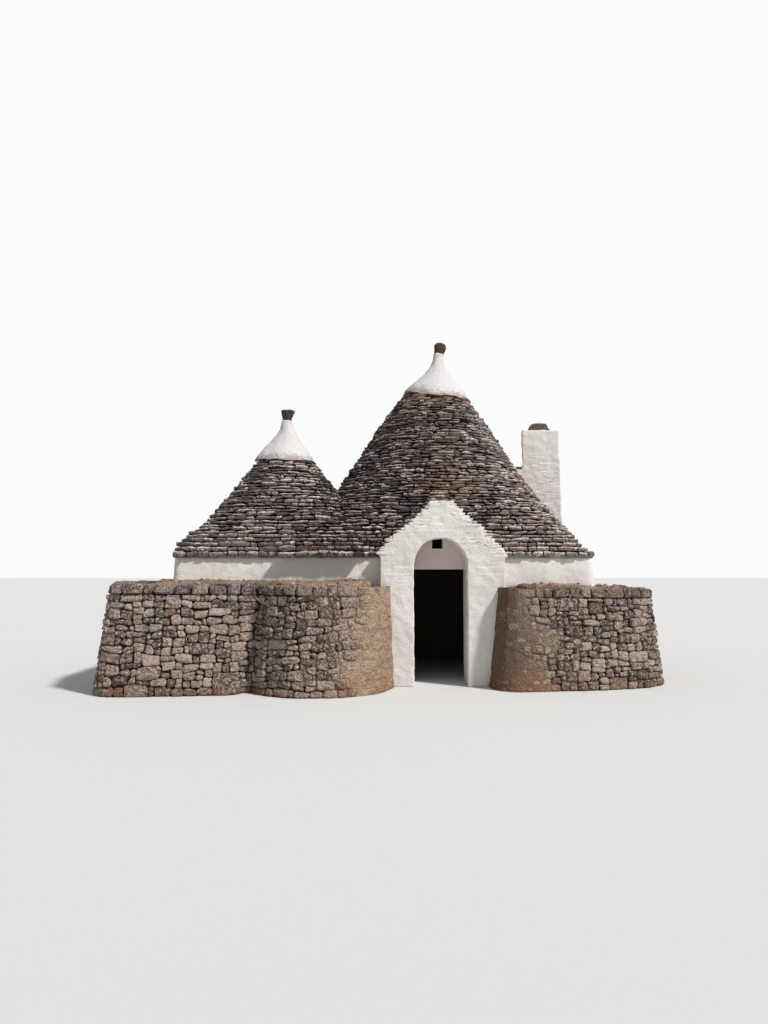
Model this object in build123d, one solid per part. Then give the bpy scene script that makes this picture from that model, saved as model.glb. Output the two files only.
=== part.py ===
"""Trullo field house: a battered dry-stone base, whitewashed drum walls and two corbelled stone cones."""
import os
from math import atan2, cos, degrees, hypot, pi, radians, sin

from build123d import *

os.makedirs("parts", exist_ok=True)

# Frame: millimetres, X to the right as seen from the front, -Y is the front, Z = 0 is the ground

# Round corners are cut into chords of about this many degrees
CHORD = 15

# Limits that lie past everything, and how far a cut runs past a face
BELOW = -100
ABOVE = 6000
FAR = 9000
CLEAR = 100

# Drum walls of the two rooms, with their front faces in line
MAIN_X = 940
MAIN_Y = 100
MAIN_HALF = 2210
SMALL_HALF = 1500
SMALL_STEP = 380
WALL_THICK = 780
WALL_TOP = 1900
LEAN_FROM = 1450
LEAN = 35
DRUM_CORNER = 110
FRONT_Y = MAIN_Y - MAIN_HALF
BACK_Y = MAIN_Y + MAIN_HALF
RIGHT_X = MAIN_X + MAIN_HALF
MIDDLE_X = MAIN_X - MAIN_HALF
SMALL_X = MIDDLE_X - SMALL_STEP
SMALL_Y = FRONT_Y + SMALL_HALF
LEFT_X = SMALL_X - SMALL_HALF
SMALL_BACK_Y = SMALL_Y + SMALL_HALF
MAIN_ROOM = MAIN_HALF - WALL_THICK
SMALL_ROOM = SMALL_HALF - WALL_THICK

# Corbelled inner vaults, as radius and height
MAIN_VAULT = [(MAIN_ROOM, WALL_TOP), (1330, 2300), (1120, 2900), (800, 3500), (430, 4150), (120, 4620)]
SMALL_VAULT = [(SMALL_ROOM, WALL_TOP), (660, 2200), (520, 2600), (300, 3000), (90, 3330)]

# Outer roof, as height, set back from the drum's face, corner radius and shift along X: square at the eaves,
# round above
EAVE_OUT = 15
SMALL_EAVE_OUT = 28
ROUND = FAR
MAIN_ROOF = [(WALL_TOP, -EAVE_OUT, 200, 0), (2030, 80, 300, 0), (2220, 162, 550, 0), (2450, 245, 900, -15),
             (2850, 410, 1500, -30), (3210, 585, ROUND, -55), (3590, 840, ROUND, -52),
             (3900, 1030, ROUND, -45), (4210, 1230, ROUND, -42), (4500, 1433, ROUND, -45),
             (4760, 1632, ROUND, -45)]
SMALL_ROOF = [(WALL_TOP, -SMALL_EAVE_OUT, 200, 0), (2030, -20, 300, 0), (2200, 80, 450, 0),
              (2430, 260, 800, 0), (2670, 378, 1000, 0), (2950, 578, ROUND, -5), (3190, 767, ROUND, -11),
              (3450, 980, ROUND, -20), (3560, 1060, ROUND, -15)]
MAIN_UPPER_FROM = 3210
SMALL_UPPER_FROM = 2950
ROOF_SIDES = 48
FINIAL_SIDES = 20

# Whitewashed caps and finials, as radius, height and shift along X: they stand a little off the cones
MAIN_CAP = [(620, 4760, -31), (590, 4800, -31), (566, 4851, -25), (507, 4941, -31), (417, 5035, -13),
            (323, 5126, 15), (229, 5218, 25), (165, 5310, 31), (120, 5403, 40), (95, 5495, 51),
            (87, 5606, 54)]
MAIN_FINIAL = [(87, 5606, 66), (97, 5640, 78), (106, 5705, 87), (102, 5765, 87), (66, 5797, 85),
               (25, 5804, 85)]
SMALL_CAP = [(487, 3560, -30), (470, 3596, -27), (430, 3648, -25), (364, 3734, -15), (293, 3820, -8),
             (228, 3906, -5), (171, 3993, 0), (130, 4078, 0), (99, 4165, 0), (84, 4240, 2)]
SMALL_FINIAL = [(84, 4240, 4), (82, 4275, 8), (98, 4335, 12), (120, 4392, 17), (117, 4410, 17)]

# Portal in front of the main drum
DOOR_X = 840
DOOR_W = 780
DOOR_TOP = 1700
ARCH_CROWN = 2156
PORTAL_FRONT = FRONT_Y - 190
PORTAL_LEFT = -50
PORTAL_RIGHT = 1788
GABLE_BACK = FRONT_Y + 160
TYMPANUM_FRONT = FRONT_Y + 110
TYMPANUM_THICK = 300
REVEAL_W = 1020
LINTEL_BEAR = 150
VENT_X = 814
VENT_SIZE = (160, 140)
VENT_Z = 2080
GABLE_LEFT = [(-112, 1930), (16, 2076), (142, 2217), (325, 2344), (436, 2442), (565, 2556), (678, 2712)]
GABLE_RIGHT = [(1033, 2712), (1146, 2597), (1290, 2455), (1460, 2329), (1628, 2146), (1768, 2005),
               (1838, 1890)]
STEP_LEAN = 25
RIDGE = [(-60, 1905), (560, 2560), (740, 2850), (960, 2850), (1150, 2590), (1790, 1905)]

# Arch between the two rooms
INNER_ARCH_W = 1000
INNER_ARCH_CROWN = 1800

# Chimney stack on the right wall, narrower at the back, with a shoulder at its left foot
STACK_LOW = (RIGHT_X - 675, RIGHT_X + 35)
STACK_HIGH = (RIGHT_X - 685, RIGHT_X - 15)
STACK_Y = (0, 600)
STACK_SPLAY = 106
STACK_TOP = 4200
STACK_CAP = (400, 370, 100)
STACK_CAP_TOP = 0.64
SHOULDER_W = 120
SHOULDER_TOP = 3490
LEDGE = (SHOULDER_W + 40, 300, 40)

# Dry-stone base: outline on the ground as x, y, corner radius and share of the batter, against the clock.
# An outward corner's radius is more than the batter takes off at the top. The top falls to the right
BASE_TOP = 1485
BASE_FALL = 0.0115
BATTER = 0.128
BED_Z = 1330
COPING_W = 300
FILL_LIP = 25
FILL_RISE = 35
MOUND_SLOPE = 0.145
NOTCH_X = LEFT_X + 1270
LENGTH_REACH = 4000
LENGTH_ROOT = 300
BASE_OUT = 1050
BASE = [
    (LEFT_X - 735, FRONT_Y - 1190, 350, 0.9), (NOTCH_X - 70, FRONT_Y - 1000, 200, 1),
    (NOTCH_X, FRONT_Y - 650, 70, 1), (NOTCH_X + 190, FRONT_Y - 970, 200, 1),
    (NOTCH_X + 580, FRONT_Y - 1250, 350, 1), (DOOR_X - 1440, FRONT_Y - 1250, 400, 1),
    (DOOR_X - 880, FRONT_Y - 840, 350, 0.7), (DOOR_X - 680, FRONT_Y - 290, 200, 0.3),
    (DOOR_X - 680, FRONT_Y - 90, 0, 0.3), (DOOR_X + 690, FRONT_Y - 90, 0, 0.7),
    (DOOR_X + 710, FRONT_Y - 370, 200, 0.9), (DOOR_X + 790, FRONT_Y - 610, 200, 1),
    (DOOR_X + 1020, FRONT_Y - 710, 200, 1), (RIGHT_X - 100, FRONT_Y - 580, 900, 1),
    (RIGHT_X + 690, FRONT_Y - 330, 400, 1), (RIGHT_X + BASE_OUT, FRONT_Y + 60, 350, 0.85),
    (RIGHT_X + BASE_OUT, BACK_Y + BASE_OUT, 1100, 1), (MIDDLE_X - BASE_OUT, BACK_Y + BASE_OUT, 1000, 1),
    (MIDDLE_X - BASE_OUT, SMALL_BACK_Y + BASE_OUT, 250, 1),
    (LEFT_X - BASE_OUT, SMALL_BACK_Y + BASE_OUT, 900, 1), (LEFT_X - BASE_OUT, FRONT_Y + 60, 800, 1),
]


def rounded(points):
    """Closed outline with each corner rounded by short chords, and the batter share of each of its points."""
    out, shares = [], []
    for i, (x, y, r, share) in enumerate(points):
        ax, ay = points[i - 1][:2]
        bx, by = points[(i + 1) % len(points)][:2]
        ua, ub = Vector(ax - x, ay - y).normalized(), Vector(bx - x, by - y).normalized()
        half = ua.get_angle(ub) * pi / 360
        if r == 0:
            out.append((x, y))
            shares.append(share)
            continue
        mid = Vector(x, y) + (ua + ub).normalized() * (r / sin(half))
        run = r * cos(half) / sin(half)
        start, end = Vector(x, y) + ua * run, Vector(x, y) + ub * run
        a0 = atan2(start.Y - mid.Y, start.X - mid.X)
        turn = (atan2(end.Y - mid.Y, end.X - mid.X) - a0 + pi) % (2 * pi) - pi
        steps = max(1, round(degrees(abs(turn)) / CHORD))
        for k in range(steps + 1):
            a = a0 + turn * k / steps
            out.append((mid.X + r * cos(a), mid.Y + r * sin(a)))
            shares.append(share)
    return out, shares


def inset(outline, distances):
    """The outline moved inwards, each corner by its own distance."""
    out = []
    for i, (x, y) in enumerate(outline):
        (ax, ay), (bx, by) = outline[i - 1], outline[(i + 1) % len(outline)]
        la, lb = hypot(x - ax, y - ay), hypot(bx - x, by - y)
        n1, n2 = ((ay - y) / la, (x - ax) / la), ((y - by) / lb, (bx - x) / lb)
        k = distances[i] / (1 + n1[0] * n2[0] + n1[1] * n2[1])
        out.append((x + (n1[0] + n2[0]) * k, y + (n1[1] + n2[1]) * k))
    return out


def flat(corners):
    """Whether four corners lie in one plane, to a tenth of a millimetre."""
    a, b, c, d = corners
    normal = (b - a).cross(c - a).normalized()
    return abs((d - a).dot(normal)) < 0.1


def stacked(levels):
    """Solid with flat sides through (height, outline) levels, lowest first and against the clock."""
    rings = [[Vector(x, y, z) for x, y in outline] for z, outline in levels]
    faces = [Face(Wire.make_polygon(reversed(rings[0]))), Face(Wire.make_polygon(rings[-1]))]
    for low, high in zip(rings, rings[1:]):
        for i in range(len(low)):
            side = [low[i - 1], low[i], high[i], high[i - 1]]
            parts = [side] if flat(side) else [side[:3], [side[0], *side[2:]]]
            faces += [Face(Wire.make_polygon(part)) for part in parts]
    return Solid(Shell(faces))


def block(x, y, z):
    """Box between pairs of limits."""
    size = [hi - lo for lo, hi in (x, y, z)]
    middle = [(lo + hi) / 2 for lo, hi in (x, y, z)]
    return Pos(*middle) * Box(*size)


def square(x, y, half):
    """Corner points of a square about a centre."""
    return [(x - half, y - half), (x + half, y - half), (x + half, y + half), (x - half, y + half)]


def turned(profile, x, y, sides):
    """Many-sided round solid about an upright axis from points (radius, height, shift along X)."""
    turns = [2 * pi * (k + 0.5) / sides for k in range(sides)]
    rings = [(z, [(x + shift + r * cos(a), y + r * sin(a)) for a in turns]) for r, z, shift in profile]
    return stacked(rings)


def upright(points, y_front, y_back):
    """Prism from an outline of (x, z) points between two depths."""
    face = make_face(Plane.XZ * Polyline(*points, close=True))
    return Pos(0, y_front, 0) * extrude(face, amount=y_back - y_front, dir=(0, 1, 0))


def below_fall(height):
    """Everything under a plane that falls to the right."""
    fall = BASE_FALL * FAR
    return upright([(-FAR, BELOW), (FAR, BELOW), (FAR, height - fall), (-FAR, height + fall)], -FAR, FAR)


def arched(mid, width, crown, foot):
    """Outline of an opening with a round head, as (across, height) points."""
    r = width / 2
    head = [(mid + r * cos(radians(a)), crown - r + r * sin(radians(a))) for a in range(0, 181, CHORD)]
    return [(mid - r, foot), (mid + r, foot), *head]


def drum(x, y, half):
    """Square drum with rounded corners, upright behind the base and leaning in above it."""
    plan = RectangleRounded(2 * half, 2 * half, DRUM_CORNER)
    low = extrude(plan, amount=LEAN_FROM)
    rise = WALL_TOP - LEAN_FROM
    high = extrude(Pos(0, 0, LEAN_FROM) * plan, amount=rise, taper=degrees(atan2(LEAN, rise)))
    return Pos(x, y, 0) * (low + high)


def roof(levels, x, y, face):
    """Outer roof over a drum of a half width, from a rounded square at the eaves to a circle."""
    turns = [2 * pi * (k + 0.5) / ROOF_SIDES for k in range(ROOF_SIDES)]
    rows = []
    for z, set_back, radius, shift in levels:
        corner = min(radius, face - set_back)
        flat = face - set_back - corner
        ring = [(x + shift + (flat if cos(a) > 0 else -flat) + corner * cos(a),
                 y + (flat if sin(a) > 0 else -flat) + corner * sin(a)) for a in turns]
        rows.append((z, ring))
    return stacked(rows)


def along(point, bearing, distance):
    """Point at a distance from another along a bearing in degrees."""
    return (point[0] + distance * cos(radians(bearing)), point[1] + distance * sin(radians(bearing)))


def sector(x, y, start, end, z):
    """Upright wedge around an axis, between two bearings in degrees."""
    rays = [along((x, y), a, FAR) for a in (start, (start + end) / 2, end)]
    return stacked([(z[0], [(x, y), *rays]), (z[1], [(x, y), *rays])])


def one(name, shape):
    """The single solid of a boolean result, without crumbs under a two-hundredth of it."""
    solids = sorted(shape.solids(), key=lambda s: -s.volume)
    if sum(s.volume for s in solids[1:]) > solids[0].volume / 200:
        print("pieces in", name, [round(s.volume) for s in solids])
    return solids[0]


nodes = {}

# Rooms, vaults and openings
door_half = DOOR_W / 2
door_sides = (DOOR_X - door_half, DOOR_X + door_half)
tympanum_back = TYMPANUM_FRONT + TYMPANUM_THICK
main_inside = (MAIN_X - MAIN_ROOM, MAIN_X + MAIN_ROOM, MAIN_Y - MAIN_ROOM, MAIN_Y + MAIN_ROOM)
small_inside = (SMALL_X - SMALL_ROOM, SMALL_X + SMALL_ROOM, SMALL_Y - SMALL_ROOM, SMALL_Y + SMALL_ROOM)
room_front = main_inside[2]
vaults = [turned([(r, z, 0) for r, z in vault], x, y, ROOF_SIDES)
          for vault, x, y in ((MAIN_VAULT, MAIN_X, MAIN_Y), (SMALL_VAULT, SMALL_X, SMALL_Y))]
rooms = (vaults[0] + vaults[1]
         + block(main_inside[:2], main_inside[2:], (BELOW, WALL_TOP))
         + block(small_inside[:2], small_inside[2:], (BELOW, WALL_TOP)))
vent_x = (VENT_X - VENT_SIZE[0] / 2, VENT_X + VENT_SIZE[0] / 2)
vent_z = (VENT_Z - VENT_SIZE[1] / 2, VENT_Z + VENT_SIZE[1] / 2)
vent = block(vent_x, (PORTAL_FRONT - CLEAR, SMALL_Y), vent_z)
niche = upright(arched(DOOR_X, DOOR_W, ARCH_CROWN, BELOW), PORTAL_FRONT - CLEAR, tympanum_back)
reveal_x = (DOOR_X - REVEAL_W / 2, DOOR_X + REVEAL_W / 2)
reveal = block(reveal_x, (tympanum_back, room_front), (BELOW, DOOR_TOP))

# Drum walls, split beside and over each opening
drums = drum(MAIN_X, MAIN_Y, MAIN_HALF) + drum(SMALL_X, SMALL_Y, SMALL_HALF)
main_out = (MIDDLE_X, RIGHT_X, FRONT_Y, BACK_Y)
small_out = (LEFT_X, FRONT_Y, SMALL_BACK_Y)
full = (0, WALL_TOP)
lintel_x = (reveal_x[0] - LINTEL_BEAR, reveal_x[1] + LINTEL_BEAR)
lintel_box = block(lintel_x, (tympanum_back, room_front), (DOOR_TOP, WALL_TOP))
head_box = block(door_sides, (FRONT_Y, tympanum_back), (DOOR_TOP, WALL_TOP))
nodes["door_lintel"] = (lintel_box + head_box - niche) & drums
jamb_y = (SMALL_Y - INNER_ARCH_W / 2, SMALL_Y + INNER_ARCH_W / 2)
arch_x = (small_inside[1], main_inside[0])
arch_face = Plane.YZ * Polyline(*arched(SMALL_Y, INNER_ARCH_W, INNER_ARCH_CROWN, BELOW), close=True)
archway = Pos(arch_x[0], 0, 0) * extrude(make_face(arch_face), amount=arch_x[1] - arch_x[0], dir=(1, 0, 0))
spring = INNER_ARCH_CROWN - INNER_ARCH_W / 2
nodes["inner_arch"] = block(arch_x, jamb_y, (spring, WALL_TOP)) - archway
nodes["inner_arch_pier"] = block(arch_x, (room_front, jamb_y[0]), full)
walls = {
    "small_wall_front": block((small_out[0], arch_x[0]), (FRONT_Y, room_front), full),
    "small_wall_left": block((small_out[0], small_inside[0]), small_inside[2:], full),
    "small_wall_back": block((small_out[0], main_out[0]), (small_inside[3], small_out[2]), full),
    "main_wall_left": block((main_out[0], arch_x[1]), (small_inside[3], main_out[3]), full)
    + block(arch_x, (jamb_y[1], small_inside[3]), full),
    "main_wall_back": block((arch_x[1], main_out[1]), (main_inside[3], main_out[3]), full),
    "main_wall_right": block((main_inside[1], main_out[1]), main_inside[2:], full),
    "main_wall_front_right": block((door_sides[1], main_out[1]), (FRONT_Y, room_front), full),
    "main_wall_front_left": block((arch_x[0], door_sides[0]), (FRONT_Y, room_front), full),
}
for name, wall in walls.items():
    nodes[name] = (wall & drums) - reveal - lintel_box

# Portal: two piers, a stepped gable over the arch, the recessed tympanum and a saddle of slabs behind
arch_spring = ARCH_CROWN - door_half
portal_depth = (PORTAL_FRONT, GABLE_BACK)
nodes["portal_pier_left"] = block((PORTAL_LEFT, door_sides[0]), portal_depth, (0, arch_spring)) - drums
nodes["portal_pier_right"] = block((door_sides[1], PORTAL_RIGHT), portal_depth, (0, arch_spring)) - drums
steps = [GABLE_LEFT[0]]
for (_, z0), (x1, z1) in zip(GABLE_LEFT, GABLE_LEFT[1:]):
    steps += [(x1 - STEP_LEAN, z0 + STEP_LEAN), (x1, z1)]
steps.append(GABLE_RIGHT[0])
for (x0, _), (x1, z1) in zip(GABLE_RIGHT, GABLE_RIGHT[1:]):
    steps += [(x0 + STEP_LEAN, z1 + STEP_LEAN), (x1, z1)]
gable_line = [(PORTAL_LEFT, arch_spring), (PORTAL_LEFT, WALL_TOP), *steps, (PORTAL_RIGHT, GABLE_RIGHT[-1][1]),
              (PORTAL_RIGHT, arch_spring)]
nodes["portal_gable"] = upright(gable_line, *portal_depth) - niche - drums
panel_line = arched(DOOR_X, DOOR_W, ARCH_CROWN, DOOR_TOP)
nodes["tympanum"] = upright(panel_line, TYMPANUM_FRONT, tympanum_back) - vent
main_roof = roof(MAIN_ROOF, MAIN_X, MAIN_Y, MAIN_HALF)
small_roof = roof(SMALL_ROOF, SMALL_X, SMALL_Y, SMALL_HALF)
nodes["portal_roof"] = upright(RIDGE, GABLE_BACK, MAIN_Y) - main_roof

# Chimney stack with its shoulder, the ledge slab on the shoulder, and the capstone
def stack_plan(sides):
    """Plan of the stack between its left and right sides, narrower at the back."""
    left, right = sides
    return [(left, STACK_Y[0]), (right, STACK_Y[0]), (right, STACK_Y[1]), (left + STACK_SPLAY, STACK_Y[1])]


stack = stacked([(WALL_TOP, stack_plan(STACK_LOW)), (STACK_TOP, stack_plan(STACK_HIGH))])
shoulder_left = STACK_LOW[0] - SHOULDER_W
shoulder = block((shoulder_left, STACK_LOW[0] + SHOULDER_W), STACK_Y, (WALL_TOP, SHOULDER_TOP))
nodes["chimney_stack"] = stack + shoulder
stack_mid = ((sum(STACK_HIGH) + STACK_SPLAY / 2) / 2, sum(STACK_Y) / 2)
cap_w, cap_d, cap_h = STACK_CAP
cap_low = [(stack_mid[0] + sx * cap_w / 2, stack_mid[1] + sy * cap_d / 2)
           for sx, sy in ((-1, -1), (1, -1), (1, 1), (-1, 1))]
cap_high = [tuple(m + (c - m) * STACK_CAP_TOP for m, c in zip(stack_mid, corner)) for corner in cap_low]
nodes["chimney_cap"] = stacked([(STACK_TOP, cap_low), (STACK_TOP + cap_h, cap_high)])
ledge_at = (shoulder_left, STACK_Y[0], SHOULDER_TOP)
ledge = block(*[(at, at + size) for at, size in zip(ledge_at, LEDGE)])

# Roof masonry around the vaults, by side below and as a ring above
openings = rooms + vent + niche
solid_parts = nodes["portal_gable"] + nodes["tympanum"] + nodes["chimney_stack"]
main_mass = main_roof - openings - solid_parts
nodes["chimney_ledge"] = ledge - stack - main_roof
small_mass = small_roof - main_roof - openings
quarters = {"right": (-45, 45), "back": (45, 135), "left": (135, 225), "front": (225, 315)}
for side, (start, end) in quarters.items():
    main_cut = sector(MAIN_X, MAIN_Y, start, end, (0, MAIN_UPPER_FROM))
    small_cut = sector(SMALL_X, SMALL_Y, start, end, (0, SMALL_UPPER_FROM))
    nodes[f"main_roof_{side}"] = main_mass & main_cut
    nodes[f"small_roof_{side}"] = small_mass & small_cut
everywhere = (-FAR, FAR)
nodes["main_roof_upper"] = main_mass & block(everywhere, everywhere, (MAIN_UPPER_FROM, ABOVE))
nodes["small_roof_upper"] = small_mass & block(everywhere, everywhere, (SMALL_UPPER_FROM, ABOVE))
nodes["main_cap"] = turned(MAIN_CAP, MAIN_X, MAIN_Y, ROOF_SIDES)
nodes["main_finial"] = turned(MAIN_FINIAL, MAIN_X, MAIN_Y, FINIAL_SIDES)
nodes["small_cap"] = turned(SMALL_CAP, SMALL_X, SMALL_Y, ROOF_SIDES)
nodes["small_finial"] = turned(SMALL_FINIAL, SMALL_X, SMALL_Y, FINIAL_SIDES)

# Dry-stone base with its top course, and the earth packed behind that course
base_line, shares = rounded(BASE)
base_high = BASE_TOP - BASE_FALL * (LEFT_X - BASE_OUT)
base_crest = inset(base_line, [BATTER * base_high * share for share in shares])
portal_block = block((PORTAL_LEFT, PORTAL_RIGHT), portal_depth, (BELOW, WALL_TOP))
base_form = stacked([(0, base_line), (base_high, base_crest)]) & below_fall(BASE_TOP)
bed_face = offset(make_face(Polyline(*base_crest, close=True)), amount=-COPING_W)
bed = extrude(Pos(0, 0, BED_Z) * bed_face, amount=base_high)
mounds = []
for x, y, half in ((MAIN_X, MAIN_Y, MAIN_HALF), (SMALL_X, SMALL_Y, SMALL_HALF)):
    rise = base_high + FILL_RISE - BED_Z
    foot = square(x, y, half + rise / MOUND_SLOPE)
    mounds.append(stacked([(BED_Z, foot), (BED_Z + rise, square(x, y, half))]))
fill_low = bed & below_fall(BASE_TOP - FILL_LIP)
fill_high = bed & (mounds[0] + mounds[1]) & below_fall(BASE_TOP + FILL_RISE)
fill_form = (fill_low + fill_high) - drums - portal_block
base_ring = base_form - bed - drums - portal_block

# The base is cut into lengths at the drum corners, and at the notch beside the middle lobe
cuts = {
    "front_left": ((small_out[0], FRONT_Y), 225, (NOTCH_X, FRONT_Y), 270),
    "front_middle": ((NOTCH_X, FRONT_Y), 270, (DOOR_X, FRONT_Y), 270),
    "front_right": ((DOOR_X, FRONT_Y), 270, (main_out[1], FRONT_Y), 315),
    "right": ((main_out[1], FRONT_Y), 315, (main_out[1], main_out[3]), 45),
    "back": ((main_out[1], main_out[3]), 45, (main_out[0], main_out[3]), 135),
    "back_left": ((main_out[0], main_out[3]), 135, (main_out[0], small_out[2]), 135),
    "left_back": ((main_out[0], small_out[2]), 135, (small_out[0], small_out[2]), 135),
    "left": ((small_out[0], small_out[2]), 135, (small_out[0], FRONT_Y), 225),
}
lengths = {}
for name, (start, a0, end, a1) in cuts.items():
    plan = [along(start, a0, -LENGTH_ROOT), along(start, a0, LENGTH_REACH), along(end, a1, LENGTH_REACH),
            along(end, a1, -LENGTH_ROOT)]
    lengths[name] = stacked([(BELOW, plan), (ABOVE, plan)])
    nodes[f"base_{name}"] = base_ring & lengths[name]
nodes["fill_front"] = fill_form & lengths["front_middle"]
nodes["fill_front_right"] = fill_form & lengths["front_right"]
nodes["fill_right"] = fill_form & lengths["right"]
nodes["fill_back"] = fill_form & (lengths["back"] + lengths["back_left"])
nodes["fill_left"] = fill_form & (lengths["left_back"] + lengths["left"] + lengths["front_left"])

for name, shape in nodes.items():
    export_step(one(name, shape), f"parts/{name}.step")
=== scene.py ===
"""Looks of the trullo house: laid slabs, rubble walls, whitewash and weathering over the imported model."""

import math
import random

import bmesh
import bpy
import numpy as np
from bpy.props import FloatProperty, FloatVectorProperty, IntProperty, PointerProperty
from mathutils import Matrix, Vector, noise
from mathutils.bvhtree import BVHTree


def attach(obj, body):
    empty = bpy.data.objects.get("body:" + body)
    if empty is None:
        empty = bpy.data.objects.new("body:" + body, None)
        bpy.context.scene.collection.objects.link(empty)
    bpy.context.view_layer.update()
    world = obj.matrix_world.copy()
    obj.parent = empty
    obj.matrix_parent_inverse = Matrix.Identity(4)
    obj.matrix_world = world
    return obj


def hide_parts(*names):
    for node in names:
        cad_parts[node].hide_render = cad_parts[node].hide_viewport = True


bl_info = {
    "name": "Trullo house",
    "version": (1, 0, 0),
    "blender": (4, 5, 0),
    "location": "3D View > Sidebar > Trullo",
    "description": "Lays the stones, whitewash and weathering of a trullo house over its packed model",
    "category": "Object",
}

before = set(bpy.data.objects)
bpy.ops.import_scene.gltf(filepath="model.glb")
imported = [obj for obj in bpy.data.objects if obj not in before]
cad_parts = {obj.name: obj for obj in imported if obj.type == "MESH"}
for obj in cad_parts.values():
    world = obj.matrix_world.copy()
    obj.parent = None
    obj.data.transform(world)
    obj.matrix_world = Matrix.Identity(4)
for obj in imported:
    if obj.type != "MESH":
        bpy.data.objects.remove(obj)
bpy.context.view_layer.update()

# Middles of the two rooms in plan, half the width of the large one, and the Y of the front wall, in metres
MAIN = (0.94, 0.10)
SMALL = (-1.65, -0.61)
MAIN_HALF = 2.21
FRONT = MAIN[1] - MAIN_HALF

# Height of the eaves, and of the top of the niche over the door
EAVES = 1.90
NICHE_TOP = 2.20

# The base: height of its top, fall of the top to the right, height of its top stones, and lean of its face
BASE_TOP = 1.485
BASE_FALL = 0.0115
COPING_H = 0.17
BATTER = 0.128

# Cones, as levels of height, half width, corner radius and shift along X
MAIN_ROOF = [
    (1.90, 2.225, 0.20, 0), (2.03, 2.13, 0.30, 0), (2.22, 2.048, 0.55, 0), (2.45, 1.965, 0.90, -0.015),
    (2.85, 1.80, 1.50, -0.03), (3.21, 1.625, 1.625, -0.055), (3.59, 1.37, 1.37, -0.052),
    (3.90, 1.18, 1.18, -0.045), (4.21, 0.98, 0.98, -0.042), (4.50, 0.777, 0.777, -0.045),
    (4.76, 0.578, 0.578, -0.045), (4.95, 0.45, 0.45, -0.03),
]
SMALL_ROOF = [
    (1.90, 1.528, 0.20, 0), (2.03, 1.52, 0.30, 0), (2.20, 1.42, 0.45, 0), (2.43, 1.24, 0.80, 0),
    (2.67, 1.122, 1.0, 0), (2.95, 0.922, 0.922, -0.005), (3.19, 0.733, 0.733, -0.011),
    (3.45, 0.52, 0.52, -0.02), (3.56, 0.44, 0.44, -0.015), (3.75, 0.31, 0.31, -0.015),
]

# Caps and finials, as radius, height and shift along X
MAIN_CAP = [
    (0.668, 4.70, -0.035), (0.620, 4.76, -0.031), (0.590, 4.80, -0.031), (0.566, 4.851, -0.025),
    (0.507, 4.941, -0.031), (0.417, 5.035, -0.013), (0.323, 5.126, 0.015), (0.229, 5.218, 0.025),
    (0.165, 5.31, 0.031), (0.120, 5.403, 0.040), (0.095, 5.495, 0.051), (0.087, 5.606, 0.054),
]
SMALL_CAP = [
    (0.535, 3.50, -0.03), (0.487, 3.56, -0.03), (0.470, 3.596, -0.027), (0.430, 3.648, -0.025),
    (0.364, 3.734, -0.015), (0.293, 3.82, -0.008), (0.228, 3.906, -0.005), (0.171, 3.993, 0),
    (0.130, 4.078, 0), (0.099, 4.165, 0), (0.084, 4.24, 0.002),
]
MAIN_FINIAL = [
    (0.087, 5.60, 0.066), (0.097, 5.64, 0.078), (0.106, 5.705, 0.087), (0.102, 5.765, 0.087),
    (0.066, 5.797, 0.085),
]
SMALL_FINIAL = [
    (0.084, 4.235, 0.004), (0.082, 4.275, 0.008), (0.098, 4.335, 0.012), (0.120, 4.39, 0.017),
    (0.114, 4.408, 0.017), (0.07, 4.392, 0.017), (0.04, 4.378, 0.017),
]

# Slopes of the gable, as X and height
GABLE_LEFT = [
    (-0.112, 1.93), (0.016, 2.076), (0.142, 2.217), (0.325, 2.344), (0.436, 2.442), (0.565, 2.556),
    (0.678, 2.712),
]
GABLE_RIGHT = [
    (1.838, 1.89), (1.768, 2.005), (1.628, 2.146), (1.46, 2.329), (1.29, 2.455), (1.146, 2.597),
    (1.033, 2.712),
]

# The saddle between the gable and the cone, as height and the X of its two sides
SADDLE = [(1.905, -0.06, 1.79), (2.56, 0.56, 1.17), (2.59, 0.58, 1.15), (2.85, 0.74, 0.96)]

# Outlines in plan, as X, Y, corner radius and share of the lean
BASE_LINE = [
    (-3.885, -3.30, 0.35, 0.9), (-1.95, -3.11, 0.20, 1), (-1.88, -2.76, 0.07, 1),
    (-1.69, -3.08, 0.20, 1), (-1.30, -3.36, 0.35, 1), (-0.60, -3.36, 0.40, 1), (-0.04, -2.95, 0.35, 0.7),
    (0.16, -2.40, 0.20, 0.3), (0.16, -2.20, 0, 0.3), (1.53, -2.20, 0, 0.7), (1.55, -2.48, 0.20, 0.9),
    (1.63, -2.72, 0.20, 1), (1.86, -2.82, 0.20, 1), (3.05, -2.69, 0.90, 1), (3.84, -2.44, 0.40, 1),
    (4.20, -2.05, 0.35, 0.85), (4.20, 3.36, 1.10, 1), (-2.32, 3.36, 1.00, 1), (-2.32, 1.94, 0.25, 1),
    (-4.20, 1.94, 0.90, 1), (-4.20, -2.05, 0.80, 1),
]
DRUM_LINE = [
    (-3.15, FRONT, 0.11, 0), (3.15, FRONT, 0.11, 0), (3.15, 2.31, 0.11, 0), (-1.27, 2.31, 0.11, 0),
    (-1.27, 0.89, 0, 0), (-3.15, 0.89, 0.11, 0),
]

# What the portal takes out of the base, in X and in Y, and the doorway out of the wall, in X
DOOR_GAP = (0.16, 1.53)
DOOR_GAP_DEPTH = (-2.35, -1.9)
DOOR = (0.45, 1.23)

# Large blocks at the foot of the rubble, as place, width and rise
FOOT_BLOCKS = [((-2.08, -3.13), 0.42, 0.29), ((3.35, -2.60), 0.30, 0.17), ((-3.30, -3.25), 0.30, 0.15)]

# The lowest courses of the front eaves jut out by this much more over this stretch of X
EAVES_JUT = (0.14, 0.07)
DEEP_EAVES = (-1.47, -0.35)

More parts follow.
